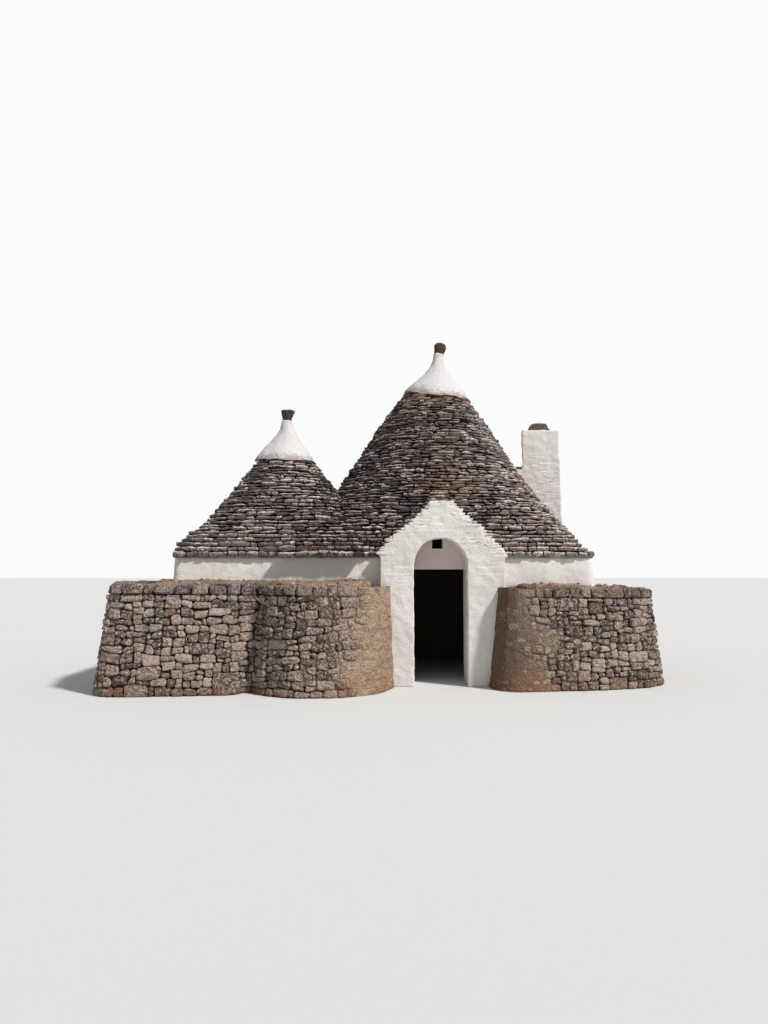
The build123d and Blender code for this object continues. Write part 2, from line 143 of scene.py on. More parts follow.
# Daub on the base, from its far ends to the portal
DAUB_ENDS = (((-1.10, -3.36), (0.16, -2.25)), ((2.85, -2.71), (1.53, -2.25)))

# Number of loose stones on the packed earth
LOOSE_STONES = 700


class StoneSizes(bpy.types.PropertyGroup):
    slab_rise: FloatProperty(
        name="Slab course", description="Height of a roof course half way up", default=0.053, unit="LENGTH")
    slab_length: FloatProperty(
        name="Slab length", description="Usual length of a roof slab", default=0.19, unit="LENGTH")
    rubble_rise: FloatProperty(
        name="Rubble course", description="Usual height of a stone of the base", default=0.105, unit="LENGTH")
    rubble_length: FloatProperty(
        name="Rubble length", description="Usual length of a stone of the base", default=0.16, unit="LENGTH")
    coping_length: FloatProperty(
        name="Top stones", description="Usual length of a top stone of the base", default=0.21, unit="LENGTH")
    seed: IntProperty(name="Seed", description="Changes how the stones fall", default=7)


class FinishColours(bpy.types.PropertyGroup):
    roof_dark: FloatVectorProperty(
        name="Roof, dark", description="Weathered slab", subtype="COLOR", default=(0.036, 0.026, 0.025))
    # The pale roof colour serves the slabs' pale crust and flecks, and the painted highlights on their upper
    # edges.
    roof_pale: FloatVectorProperty(
        name="Roof, pale", description="Fresh edge of a slab", subtype="COLOR", default=(0.80, 0.69, 0.665))
    rubble_dark: FloatVectorProperty(
        name="Rubble, dark", description="Shaded stone", subtype="COLOR", default=(0.075, 0.058, 0.050))
    rubble_pale: FloatVectorProperty(
        name="Rubble, pale", description="Pale stone", subtype="COLOR", default=(0.57, 0.452, 0.395))
    earth: FloatVectorProperty(
        name="Earth", description="Packed earth and straw", subtype="COLOR", default=(0.37, 0.255, 0.175))
    whitewash: FloatVectorProperty(
        name="Whitewash", description="Clean whitewash", subtype="COLOR", default=(0.76, 0.73, 0.70))
    lichen: FloatVectorProperty(
        name="Lichen", description="Yellow lichen", subtype="COLOR", default=(0.40, 0.28, 0.16))
    rust: FloatVectorProperty(
        name="Soil stain", description="Red-brown soil stain", subtype="COLOR", default=(0.27, 0.12, 0.05))


class StudioSetup(bpy.types.PropertyGroup):
    sun_strength: FloatProperty(name="Key light", description="Strength of the key light", default=3.7)
    sky_strength: FloatProperty(
        name="Soft light", description="Strength of the light from all round", default=0.40)


def finish():
    """Colours chosen for the house."""
    return bpy.context.scene.trullo_finish


def sizes():
    """Stone sizes chosen for the house."""
    return bpy.context.scene.trullo_stones


def named(start):
    """CAD nodes whose names start with a word."""
    return [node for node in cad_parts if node.startswith(start)]


def held(value):
    """A number held between 0 and 1."""
    return min(1.0, max(0.0, value))


def noise_at(x, y, z):
    """Smooth noise at a place."""
    return noise.noise(Vector((x, y, z)))


# Lines that stones are laid along

def rounded(points):
    """Closed outline through corner points (x, y, radius, batter), each corner rounded by short chords."""
    out = []
    for i, (x, y, r, batter) in enumerate(points):
        corner = Vector((x, y))
        if r == 0:
            out.append((x, y, batter))
            continue
        ua = (Vector(points[i - 1][:2]) - corner).normalized()
        ub = (Vector(points[(i + 1) % len(points)][:2]) - corner).normalized()
        half = ua.angle(ub) / 2
        middle = corner + (ua + ub).normalized() * (r / math.sin(half))
        start = corner + ua * (r / math.tan(half)) - middle
        end = corner + ub * (r / math.tan(half)) - middle
        a0 = math.atan2(start.y, start.x)
        turn = (math.atan2(end.y, end.x) - a0 + math.pi) % (2 * math.pi) - math.pi
        steps = max(2, round(math.degrees(abs(turn)) / 12))
        for k in range(steps + 1):
            a = a0 + turn * k / steps
            out.append((middle.x + r * math.cos(a), middle.y + r * math.sin(a), batter))
    return out


class Line:
    """A closed line in plan, measured by the run from its first point, with a share of the lean."""

    def __init__(self, points, height=0.0):
        self.ring = np.array(list(points) + [points[0]], float)
        self.height = 0.0
        self.measure()
        if height:
            self.ring[:, :2] = self.point(self.run, height + 0 * self.run, 0 * self.run, True)[:, :2]
            self.ring[-1] = self.ring[0]
            self.height = height
            self.measure()

    def measure(self):
        """Runs of the corner points."""
        self.run = np.concatenate([[0], np.cumsum(np.hypot(*np.diff(self.ring[:, :2], axis=0).T))])
        self.length = self.run[-1]

    def at(self, u):
        """Places in plan at a run."""
        u = np.mod(u, self.length)
        return np.stack([np.interp(u, self.run, self.ring[:, i]) for i in (0, 1)], -1)

    def outward(self, u, reach=0.03):
        """Directions away from the house at a run."""
        along = self.at(u + reach) - self.at(u - reach)
        along /= np.linalg.norm(along, axis=-1, keepdims=True) + 1e-9
        return np.stack([along[..., 1], -along[..., 0]], -1)

    def top(self, u):
        """Height of the base's top, which falls to the right."""
        return BASE_TOP - BASE_FALL * self.at(u)[..., 0]

    def point(self, u, z, depth, battered=False):
        """Places at a run, a height and a depth behind the line, which may lean in by the batter."""
        depth = np.asarray(depth)
        if battered:
            share = np.interp(np.mod(u, self.length), self.run, self.ring[:, 2])
            depth = depth + BATTER * share * (z - self.height)
        flat = self.at(u) - self.outward(u) * depth[..., None]
        return np.concatenate([flat, np.asarray(z)[..., None]], -1)


def at_height(levels, z):
    """The values of a table of levels, read at a height."""
    heights, *rows = zip(*levels)
    return [np.interp(z, heights, row) for row in rows]


def roof_line(levels, centre, z):
    """The roof's outline at a height."""
    half, corner, shift = at_height(levels, z)
    flat = half - corner
    turns = (np.arange(96) + 0.5) * 2 * math.pi / 96
    x = centre[0] + shift + np.sign(np.cos(turns)) * flat + corner * np.cos(turns)
    y = centre[1] + np.sign(np.sin(turns)) * flat + corner * np.sin(turns)
    return Line(list(zip(x, y)))


class Wave:
    """A gentle rise and fall along a closed line."""

    def __init__(self, rng, length, size, spacing):
        count = max(4, round(length / spacing))
        self.u = np.linspace(0, length, count + 1)
        values = [rng.uniform(-size, size) for _ in range(count)]
        self.v = np.array(values + values[:1])
        self.length = length

    def __call__(self, u):
        return np.interp(np.mod(u, self.length), self.u, self.v)


# Stones

class Tile:
    """A worn block inside a unit cube: x along the course, y into the wall, z up."""

    def __init__(self, size, edge, rng, cuts=2, rough=0.008, worn_ends=1.0):
        bm = bmesh.new()
        bmesh.ops.create_cube(bm, size=1)
        bmesh.ops.scale(bm, vec=size, verts=bm.verts)
        along = [e for e in bm.edges if abs(e.verts[0].co.x - e.verts[1].co.x) > size[0] / 2]
        if cuts:
            bmesh.ops.subdivide_edges(bm, edges=along, cuts=cuts)
        back = size[1] / 2 - 1e-5
        worn = [e for e in bm.edges if e.calc_face_angle(0) > 0.5 and min(v.co.y for v in e.verts) < back]
        bmesh.ops.bevel(bm, geom=worn, offset=edge, affect="EDGES", segments=1, profile=0.5, material=-1)
        for v in bm.verts:
            if v.co.y < back:
                v.co += Vector([rng.uniform(-rough, rough) for _ in range(3)])
        for side in (-1, 1):
            share, keep = rng.uniform(worn_ends, 1), rng.uniform(-size[2], size[2]) / 2
            for v in bm.verts:
                if v.co.x * side > size[0] * 0.3:
                    v.co.z = keep + (v.co.z - keep) * share
        bmesh.ops.recalc_face_normals(bm, faces=bm.faces)
        self.mesh = bpy.data.meshes.new("stone_tile")
        bm.to_mesh(self.mesh)
        self.unit = np.array([[v.co[i] / size[i] + 0.5 for i in range(3)] for v in bm.verts])
        bm.free()
        self.rise = np.clip(self.unit[:, 2], 0, 1) * np.clip(1 - self.unit[:, 1] * 3, 0, 1)


def tiles(rng, count, size, edge, **shape):
    """Worn blocks of one size, each a little different."""
    return [Tile(size, edge, rng, **shape) for _ in range(count)]


class StoneBed:
    """Collects stones into one piece, each with its tone, its tint and how far up its face a point is."""

    def __init__(self, tiles):
        self.bm = bmesh.new()
        self.mark = self.bm.verts.layers.float_vector.new("stone")
        self.tiles = tiles

    def lay(self, rng, place):
        """Lays one stone where a function puts the points of a unit cube."""
        tile = rng.choice(self.tiles)
        tone, tint = rng.random(), rng.random()
        points = place(tile.unit[:, 0], tile.unit[:, 1], tile.unit[:, 2])
        start = len(self.bm.verts)
        self.bm.from_mesh(tile.mesh)
        self.bm.verts.ensure_lookup_table()
        for i, co in enumerate(points.tolist()):
            v = self.bm.verts[start + i]
            v.co = co
            v[self.mark] = (tone, tint, tile.rise[i])

    def piece(self, name, material, slot, replaces=()):
        """Makes the stones laid so far a piece of the house."""
        piece(name, to_mesh(self.bm, name), material, replaces)


def to_mesh(bm, name):
    """Ends a shape as a mesh."""
    mesh = bpy.data.meshes.new(name)
    bm.to_mesh(mesh)
    bm.free()
    return mesh


def piece(name, mesh, material, replaces=(), smooth=False):
    """Makes a finished mesh a piece of the house, with nothing of it below the ground."""
    for v in mesh.vertices:
        v.co.z = max(v.co.z, 0.0)
    ob = bpy.data.objects.new(name, mesh)
    bpy.context.scene.collection.objects.link(ob)
    mesh.materials.clear()
    mesh.materials.append(material)
    mesh.polygons.foreach_set("use_smooth", [smooth] * len(mesh.polygons))
    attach(ob, "root")
    if replaces:
        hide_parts(*replaces)


def joints(rng, start, end, usual, spread):
    """Runs at which the upright joints of a course fall."""
    out = [start]
    while out[-1] < end - usual * 0.5:
        out.append(out[-1] + usual * rng.uniform(1 - spread, 1 + spread))
    out[-1] = end
    return out


def lay_course(bed, rng, line, low, high, usual, depth, out, gap, skip, start=0.0, battered=False, lean=0.0,
               slant=0.0, droop=0.0, uneven=0.0, spread=0.45, reach=None):
    """Lays one course of stones between two levels along a line.

    The stones stand out by a span, with a gap between them, and lean, slant, droop or sit uneven by so much
    at most. Those that the skip function names are left out, and the reach function juts out others.
    """
    marks = joints(rng, start, line.length, usual, spread)
    slants = [rng.uniform(-slant, slant) for _ in marks]
    slants[-1] = slants[0]
    for (u0, s0), (u1, s1) in zip(zip(marks, slants), zip(marks[1:], slants[1:])):
        if skip(u0, u1):
            continue
        proud = rng.uniform(*out) + (reach((u0 + u1) / 2) if reach else 0.0)
        tilt, turn = rng.uniform(-lean, lean), rng.uniform(-lean, lean)
        nip = gap * rng.uniform(0.5, 1.5)
        lift0, lift1 = rng.uniform(-uneven, uneven), rng.uniform(-2 * uneven, uneven)

        def place(across, inward, up):
            left = u0 + s0 * (up - 0.5) + nip / 2
            right = u1 + s1 * (up - 0.5) - nip / 2
            u = left + (right - left) * across
            z0, z1 = low(u) + nip / 2 + lift0, high(u) - nip / 2 + lift1
            z = z0 + (z1 - z0) * up - droop * (1 - inward) + tilt * (across - 0.5)
            return line.point(u, z, inward * depth - proud - turn * (across - 0.5), battered)

        bed.lay(rng, place)


# Materials

# Noise of the finishes, as scale, detail and roughness
CLOUDS = {
    "slab edge": (24, 3, 0.6), "slab grain": (1, 4, 0.7), "crust": (26, 4, 0.7),
    "lichen": (2.2, 5, 0.65), "mottle": (15, 5, 0.7), "broad tone": (1.1, 3, 0.5),
    "painted highlight fleck": (30, 4, 0.7), "grey bloom": (3.1, 5, 0.7), "rubble foot": (3, 5, 0.6),
    "rubble relief": (18, 5, 0.7), "grit": (34, 4, 0.7), "earth relief": (30, 4, 0.6),
    "daub bend": (9, 3, 0.6), "daub wear": (2.4, 3, 0.5), "daub foot": (4, 5, 0.6),
    "daub relief": (13, 5, 0.7), "dirt": (5, 6, 0.7), "stain edge": (5.5, 4, 0.6),
    "cap edge": (14, 4, 0.7), "speck": (11, 3, 0.6), "speck edge": (45, 2, 0.6), "crack": (1, 2, 0.5),
    "brush": (14, 4, 0.5),
}

# Stains, and painted shades of the gaps, daub and inside, that lie over the colours a user may change
STAINS = {
    "brown joint": (0.20, 0.115, 0.07), "straw": (0.34, 0.205, 0.12), "warm stone": (0.40, 0.235, 0.12),
    "grey stone": (0.16, 0.155, 0.15), "smear": (0.40, 0.28, 0.195),
    "smear in shade": (0.17, 0.12, 0.088), "dark daub": (0.26, 0.158, 0.098),
    "pale daub": (0.58, 0.415, 0.30), "worn daub": (0.45, 0.345, 0.26),
    "daub crack": (0.13, 0.085, 0.06), "daub in shade": (0.10, 0.07, 0.052), "grime": (0.42, 0.36, 0.29),
    "eaves stain": (0.36, 0.20, 0.14), "cap foot": (0.22, 0.16, 0.125),
    "cap speck": (0.12, 0.105, 0.085), "wash crack": (0.16, 0.125, 0.10), "painted_inner_shade": (0.05, 0.045, 0.04),
    "roof gap painted shade": (0.030, 0.022, 0.015), "rubble gap painted shade": (0.036, 0.027, 0.018), "moss": (0.15, 0.115, 0.075),
    "main finial": (0.13, 0.072, 0.038), "small finial": (0.12, 0.09, 0.065),
}

# Middle of the straw-coloured patch of roof above the gable
STRAW_SPOT = (1.02, FRONT + 0.55, 2.95)


class Wiring:
    """Short ways to add and join shader nodes."""

    def __init__(self, tree):
        self.tree = tree

    def feed(self, value, socket):
        """Links an output to a socket, or sets the socket to a number, a vector or a colour."""
        if isinstance(value, bpy.types.NodeSocket):
            self.tree.links.new(value, socket)
        else:
            socket.default_value = (*value[:3], 1.0) if socket.type == "RGBA" else value

    def node(self, kind, inputs=None, **settings):
        """A new node with its settings, and with what feeds its inputs."""
        n = self.tree.nodes.new(kind)
        for key, value in settings.items():
            setattr(n, key, value)
        for key, value in (inputs or {}).items():
            self.feed(value, n.inputs[key])
        return n

    def math(self, operation, total, *values):
        """Works an operation through several values."""
        for value in values:
            total = self.node("ShaderNodeMath", {0: total, 1: value}, operation=operation).outputs[0]
        return total

    def times(self, *values):
        """Product of several values."""
        return self.math("MULTIPLY", *values)

    def add(self, *values):
        """Sum of several values."""
        return self.math("ADD", *values)

    def most(self, *values):
        """Largest of several values."""
        return self.math("MAXIMUM", *values)

    def spread(self, value, span, reach=(0.0, 1.0)):
        """Spreads a span of a value over a reach, and holds it there outside the span."""
        return self.node("ShaderNodeMapRange", dict(enumerate((value, *span, *reach)))).outputs[0]

    def band(self, value, rising, falling, reach=(0.0, 1.0)):
        """A mask that rises over one span of a value and falls over another."""
        return self.times(self.spread(value, rising), self.spread(value, falling, reach))

    def mix(self, factor, a, b, blend="MIX"):
        """Mixes two colours."""
        sockets = {0: factor, 6: a, 7: b}
        return self.node("ShaderNodeMix", sockets, data_type="RGBA", blend_type=blend).outputs[2]


def weathering_group():
    """Shared weathering: broad patches, fine speckle and pits."""
    name = "weathering"
    if name in bpy.data.node_groups:
        return bpy.data.node_groups[name]
    group = bpy.data.node_groups.new(name, "ShaderNodeTree")
    for label, kind in (("Vector", "Vector"), ("Patch Scale", "Float"), ("Speckle Scale", "Float")):
        group.interface.new_socket(label, in_out="INPUT", socket_type=f"NodeSocket{kind}")
    for label in ("Patches", "Speckle", "Pits"):
        group.interface.new_socket(label, in_out="OUTPUT", socket_type="NodeSocketFloat")
    w = Wiring(group)
    vector, patch_scale, speckle_scale = w.node("NodeGroupInput").outputs[:3]
    patches = w.node("ShaderNodeTexNoise",
                     {"Vector": vector, "Scale": patch_scale, "Detail": 5, "Roughness": 0.6})
    speckle = w.node("ShaderNodeTexNoise", {"Vector": vector, "Scale": speckle_scale, "Detail": 3})
    pits = w.node("ShaderNodeTexVoronoi", {"Vector": vector, "Scale": speckle_scale})
    w.node("NodeGroupOutput", {
        "Patches": w.spread(patches.outputs["Fac"], (0.35, 0.65)),
        "Speckle": w.spread(speckle.outputs["Fac"], (0.3, 0.7)),
        "Pits": w.spread(pits.outputs["Distance"], (0.0, 0.35)),
    })
    return group


class Coat(Wiring):
    """A material under way, with the colour laid on it so far."""

    def __init__(self, name, patch_scale, speckle_scale):
        self.material = bpy.data.materials.new(name)
        self.material.use_nodes = True
        super().__init__(self.material.node_tree)
        self.coords = self.node("ShaderNodeTexCoord").outputs["Object"]
        self.x, self.y, self.z = self.split(self.coords)
        weathering = {"Vector": self.coords, "Patch Scale": patch_scale, "Speckle Scale": speckle_scale}
        weather = self.node("ShaderNodeGroup", weathering, node_tree=weathering_group())
        self.patches, self.speckle, self.pits = weather.outputs
        self.colour = None

    def split(self, vector):
        """The three numbers of a vector."""
        return self.node("ShaderNodeSeparateXYZ", {0: vector}).outputs[:]

    def stone_marks(self):
        """Tone and tint of each stone, and how far up its face a point is."""
        return self.split(self.node("ShaderNodeAttribute", attribute_name="stone").outputs["Vector"])

    def mapped(self, scale, turn=(0.0, 0.0, 0.0)):
        """The piece's coordinates, stretched and turned."""
        values = {"Vector": self.coords, "Scale": scale, "Rotation": turn}
        return self.node("ShaderNodeMapping", values).outputs[0]

    def noise(self, kind, vector=None):
        """One of the named noises."""
        scale, detail, rough = CLOUDS[kind]
        vector = self.coords if vector is None else vector
        values = {"Vector": vector, "Scale": scale, "Detail": detail, "Roughness": rough}
        return self.node("ShaderNodeTexNoise", values).outputs["Fac"]

    def cloud(self, kind, span, reach=(0.0, 1.0), vector=None):
        """One of the named noises, spread over a reach."""
        return self.spread(self.noise(kind, vector), span, reach)

    def distance(self, spot):
        """Distance from a spot."""
        ends = {0: self.coords, 1: spot}
        return self.node("ShaderNodeVectorMath", ends, operation="DISTANCE").outputs["Value"]

    def lay(self, share, colour, cover=1.0):
        """Lays a colour or a named stain over the colour so far, as densely as the cover says."""
        new = STAINS[colour] if isinstance(colour, str) else colour
        if cover < 1.0:
            new = self.mix(cover, self.colour, new)
        self.colour = self.mix(share, self.colour, new)

    def finished(self, relief, roughness, strength, distance):
        """The material, with the colour and the relief joined to its shader."""
        bump = self.node("ShaderNodeBump", {"Strength": strength, "Distance": distance, "Height": relief})
        shader = self.tree.nodes["Principled BSDF"]
        for label, value in (("Base Color", self.colour), ("Roughness", roughness),
                             ("Specular IOR Level", 0.25), ("Normal", bump.outputs["Normal"])):
            self.feed(value, shader.inputs[label])
        return self.material


def roof_material():
    """Dark weathered slabs with painted highlights on their upper edges, painted light and shade, brown
    crevices and lichen.
    """
    colours = finish()
    w = Coat("roof_slabs", patch_scale=1.3, speckle_scale=70)
    tone, tint, rise = w.stone_marks()
    ragged = w.add(rise, w.cloud("slab edge", (0.3, 0.7), (-0.2, 0.2)))
    streak = w.cloud("slab grain", (0.42, 0.62), vector=w.mapped((9.0, 9.0, 60.0)))
    # The slabs' pale upper edges are painted highlights, brighter on pale slabs.
    painted_rim_highlight = w.times(w.spread(ragged, (0.56, 0.80)), w.spread(tone, (0, 1), (0.04, 1.1)))
    flecks = w.spread(w.times(w.speckle, streak), (0, 1), (0.04, 0.30))
    body = w.times(flecks, w.spread(tone, (0.2, 1.0), (0.3, 1.0)))
    crust = w.times(w.cloud("crust", (0.50, 0.66)), w.spread(tone, (0, 1), (0.15, 0.72)))
    # Painted light pales the roof's right, painted shade darkens the main cone's left; the small cone is
    # paler again.
    right = w.spread(w.x, (0.9, 2.4), (0.0, 0.12))
    painted_shade_left = w.spread(w.x, (0.5, -0.3), (0.0, -0.07))
    left = w.spread(w.x, (-0.9, -1.4), (0.0, 0.13))
    pale = w.add(w.most(painted_rim_highlight, body, crust), right, painted_shade_left, left)
    w.colour = w.mix(pale, colours.roof_dark, colours.roof_pale)
    w.lay(w.times(w.patches, w.spread(tint, (0.3, 1.0), (0.0, 0.55))), "brown joint", cover=0.6)
    damp = w.add(w.spread(w.x, (0.6, 2.6), (0.0, 0.08)), w.noise("lichen"))
    w.lay(w.times(w.spread(damp, (0.56, 0.72)), w.spread(w.speckle, (0.3, 0.8), (0.0, 0.55))), colours.lichen)
    near = w.add(w.distance(STRAW_SPOT), w.spread(w.speckle, (0, 1), (-0.12, 0.12)))
    straw = w.times(w.spread(near, (0.55, 0.25)), 0.62)
    under_cap = w.times(w.spread(w.z, (4.30, 4.75)), w.spread(w.patches, (0, 1), (0.2, 0.65)))
    w.lay(w.most(straw, under_cap), "straw", cover=0.7)
    relief = w.add(w.speckle, w.times(w.pits, 0.6), w.times(w.noise("crust"), 1.5))
    return w.finished(relief, roughness=0.92, strength=0.8, distance=0.012)


def rubble_material(name="rubble", pale_share=1.0, shade=1.0):
    """Grey-beige field stones of their own tones, with painted highlights, daub beside the portal and a ruddy
    foot.
    """
    colours = finish()
    w = Coat(name, patch_scale=1.1, speckle_scale=45)
    tone, tint, _ = w.stone_marks()
    # Each stone's own tone with speckle and mottle, and flecks of painted highlight
    pale = w.add(w.spread(tone, (0, 1), (-0.12, 0.64 * pale_share)),
                 w.spread(w.speckle, (0, 1), (-0.28, 0.28)), w.cloud("mottle", (0.35, 0.65), (-0.22, 0.34)),
                 w.cloud("broad tone", (0.3, 0.7), (-0.08, 0.20)),
                 w.cloud("painted highlight fleck", (0.50, 0.64), (0.0, 0.7)))
    w.colour = w.mix(pale, colours.rubble_dark, np.array(colours.rubble_pale) * (1.12 * shade))
    w.lay(w.times(w.spread(tint, (0.70, 0.98)), 0.42), "warm stone", cover=0.65)
    w.lay(w.cloud("grey bloom", (0.5, 0.68), (0.0, 0.55)), "grey stone", cover=0.5)
    left = w.band(w.x, (-0.75, -0.25), (0.6, 0.3))
    right = w.band(w.x, (1.2, 1.4), (2.5, 2.0))
    flecks = w.spread(w.speckle, (0, 1), (0.45, 0.85))
    smear = w.times(w.most(left, right), w.spread(w.y, (-2.0, -2.2)), flecks)
    # By the portal, the smear on the right lobe is painted in shade.
    painted_shade_side = w.band(w.x, (1.0, 1.1), (2.2, 1.6))
    w.lay(smear, w.mix(painted_shade_side, STAINS["smear"], STAINS["smear in shade"]))
    patchy = w.cloud("rubble foot", (0.42, 0.62), (0.0, 0.75))
    w.lay(w.times(w.spread(w.z, (0.30, 0.04)), patchy), colours.rust)
    relief = w.add(w.speckle, w.times(w.noise("rubble relief"), 2.4))
    return w.finished(relief, roughness=0.93, strength=1.0, distance=0.024)


def earth_material(name, colour):
    """Dry earth or bare stone with grit, in a colour or a named one; near black, it is painted shade."""
    w = Coat(name, patch_scale=2.5, speckle_scale=90)
    base = np.array(STAINS[colour] if isinstance(colour, str) else colour)
    grit = w.cloud("grit", (0.38, 0.62))
    w.colour = w.mix(w.times(w.speckle, grit), base * 0.35, base)
    w.lay(w.times(w.patches, w.spread(grit, (0, 1), (0.1, 0.6))), base * (1.7, 1.8, 1.95))
    relief = w.add(w.speckle, w.noise("earth relief"))
    return w.finished(relief, roughness=0.95, strength=0.8, distance=0.01)


def daub_material():
    """Brown lime and earth smeared over stones, greyer where it is worn, with painted shade on the right
    lobe.
    """
    w = Coat("daub", patch_scale=2.2, speckle_scale=40)
    w.colour = w.mix(w.speckle, STAINS["dark daub"], STAINS["pale daub"])
    w.lay(w.spread(w.patches, (0, 1), (0.0, 0.5)), "worn daub")
    bend = w.mix(0.12, w.mapped((4.2, 4.2, 7.0)), w.noise("daub bend"), "ADD")
    edges = w.node("ShaderNodeTexVoronoi", {"Scale": 1.0, "Vector": bend}, feature="DISTANCE_TO_EDGE")
    wear = w.cloud("daub wear", (0.38, 0.6), (0.1, 0.85))
    crack = w.times(w.spread(edges.outputs["Distance"], (0.22, 0.0)), wear)
    w.lay(w.times(crack, 0.45), "daub crack")
    # Painted shade darkens the daub of the right lobe, most next to the portal.
    painted_shade_side = w.band(w.x, (1.0, 1.4), (2.75, 1.8), (0.2, 1.0))
    w.lay(w.times(painted_shade_side, 0.86), "daub in shade")
    w.lay(w.times(w.spread(w.z, (0.45, 0.0)), w.cloud("daub foot", (0.35, 0.62), (0.1, 0.65))), finish().rust)
    relief = w.add(w.speckle, w.times(w.noise("daub relief"), 2.0), w.times(crack, -1.2))
    return w.finished(relief, roughness=0.95, strength=1.0, distance=0.02)


def whitewash_material(name, grime, shade=1.0, stain_top=None, foot=None, cracks=None, painted_inner_shade=False):
    """Thick brushed whitewash, slightly uneven, with grime in patches.

    The shade darkens the white, with one number or with one for each of red, green and blue. The stain top
    is the height of a brown stain from what lies above. The foot is a dirty lower edge, as a height, a
    middle in X and a rise to the left. Cracks show round a spot, and painted shade deepens away from the
    doorway.
    """
    w = Coat(name, patch_scale=1.6, speckle_scale=38)
    white = np.array(finish().whitewash) * shade
    w.colour = w.mix(w.spread(w.patches, (0, 1), (0.0, 0.55)), white, white * (0.80, 0.78, 0.76))
    w.lay(w.times(w.cloud("dirt", (0.56, 0.74)), grime), "grime")
    if stain_top:
        ragged = w.add(w.z, w.cloud("stain edge", (0, 1), (-0.10, 0.10)))
        w.lay(w.times(w.spread(ragged, (stain_top - 0.05, stain_top + 0.01)), 0.55), "eaves stain")
    if foot:
        low, middle, rise = foot
        ragged = w.add(w.z, w.spread(w.x, (middle - 0.65, middle), (-rise, 0.0)),
                       w.cloud("cap edge", (0.3, 0.7), (-0.07, 0.07)))
        w.lay(w.spread(ragged, (low + 0.11, low + 0.02), (0.0, 0.7)), "cap foot")
        w.lay(w.times(w.cloud("speck", (0.64, 0.69)), w.cloud("speck edge", (0.45, 0.55)), 0.75), "cap speck")
    if cracks:
        thin = w.mapped((4.0, 4.0, 17.0), (0.0, math.radians(14), 0.0))
        signed = {0: w.add(w.noise("crack", thin), -0.5)}
        off_line = w.node("ShaderNodeMath", signed, operation="ABSOLUTE").outputs[0]
        near = w.spread(w.distance(cracks), (0.55, 0.2), (0.0, 0.7))
        w.lay(w.times(w.spread(off_line, (0.016, 0.0)), near), "wash crack")
    # Painted shade, near black, deepens on the inside walls away from the doorway.
    if painted_inner_shade:
        w.lay(w.spread(w.y, (FRONT + 0.35, FRONT + 0.8), (0.0, 0.9)), "painted_inner_shade")
    relief = w.add(w.times(w.speckle, 0.5), w.noise("brush"))
    return w.finished(relief, roughness=0.85, strength=0.45, distance=0.012)


# Skins

def combined(nodes):
    """One closed mesh from CAD nodes."""
    bm = bmesh.new()
    for node in nodes:
        bm.from_mesh(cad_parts[node].data)
    bmesh.ops.remove_doubles(bm, verts=bm.verts, dist=1e-5)
    return bm


def remeshed(bm, voxel, smooth=2):
    """The even, softly rounded skin of a shape."""
    ob = bpy.data.objects.new("skin", to_mesh(bm, "skin"))
    bpy.context.scene.collection.objects.link(ob)
    skin = ob.modifiers.new("skin", "REMESH")
    skin.mode = "VOXEL"
    skin.voxel_size = voxel
    if smooth:
        soft = ob.modifiers.new("soft", "SMOOTH")
        soft.factor = 0.5
        soft.iterations = smooth
    graph = bpy.context.evaluated_depsgraph_get()
    out = bpy.data.meshes.new_from_object(ob.evaluated_get(graph))
    bpy.data.objects.remove(ob)
    return out


def lumpy(mesh, scales):
    """Pushes a skin in and out by noise at several scales, (size in metres, amount in metres)."""
    normals = [v.normal.copy() for v in mesh.vertices]
    for v, n in zip(mesh.vertices, normals):
        v.co += n * sum(amount * noise.noise(v.co / size) for size, amount in scales)
    return mesh


def move(bm, places):
    """Puts the points of a shape at new places, in their order."""
    for v, co in zip(bm.verts, places.tolist()):
        v.co = co


def ring_shell(line, levels, thick, step, battered=False):
    """Closed band round a line through levels (height, outward)."""
    bm = bmesh.new()
    count = max(24, round(line.length / step))
    bmesh.ops.create_grid(bm, x_segments=count, y_segments=len(levels) - 1, size=0.5)
    spots = np.array([v.co[:2] for v in bm.verts]) + 0.5
    rows = np.rint(spots[:, 1] * (len(levels) - 1)).astype(int)
    heights, outs = (np.array(column)[rows] for column in zip(*levels))
    move(bm, line.point(spots[:, 0] * line.length, heights, -outs, battered))
    bmesh.ops.remove_doubles(bm, verts=bm.verts, dist=1e-4)
    bmesh.ops.recalc_face_normals(bm, faces=bm.faces)
    bmesh.ops.solidify(bm, geom=bm.faces, thickness=thick)
    return bm


def turned(profile, centre, steps=72):
    """Closed turned shape from a profile of (radius, height, shift along X)."""
    bm = bmesh.new()
    radii, heights, shifts = zip(*profile)
    points = [(0, heights[0]), *zip(radii, heights), (0, heights[-1])]
    verts = [bm.verts.new((centre[0] + r, centre[1], z)) for r, z in points]
    edges = [bm.edges.new(pair) for pair in zip(verts, verts[1:])]
    bmesh.ops.subdivide_edges(bm, edges=edges, cuts=2)
    bmesh.ops.spin(bm, geom=bm.verts[:] + bm.edges[:], cent=(*centre, 0), axis=(0, 0, 1), angle=2 * math.pi,
                   steps=steps, use_merge=True)
    bmesh.ops.remove_doubles(bm, verts=bm.verts, dist=1e-4)
    bmesh.ops.recalc_face_normals(bm, faces=bm.faces)
    for v in bm.verts:
        v.co.x += np.interp(v.co.z, heights, shifts) if heights[0] < heights[-1] else shifts[0]
    return bm


def dress(node, material):
    """Gives a CAD node a finish."""
    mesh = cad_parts[node].data
    mesh.materials.clear()
    mesh.materials.append(material)


# Roof

# Size of a slab before it is fitted, and how deep it reaches into the roof
SLAB = (0.20, 0.24, 0.05)
SLAB_DEPTH = 0.22

# Rises of the thick courses at the eaves, and what the rises above are multiplied by at two heights
EAVES_RISES = (0.088, 0.074, 0.068, 0.064)
THINNING = ((2.1, 4.6), (1.08, 0.94))

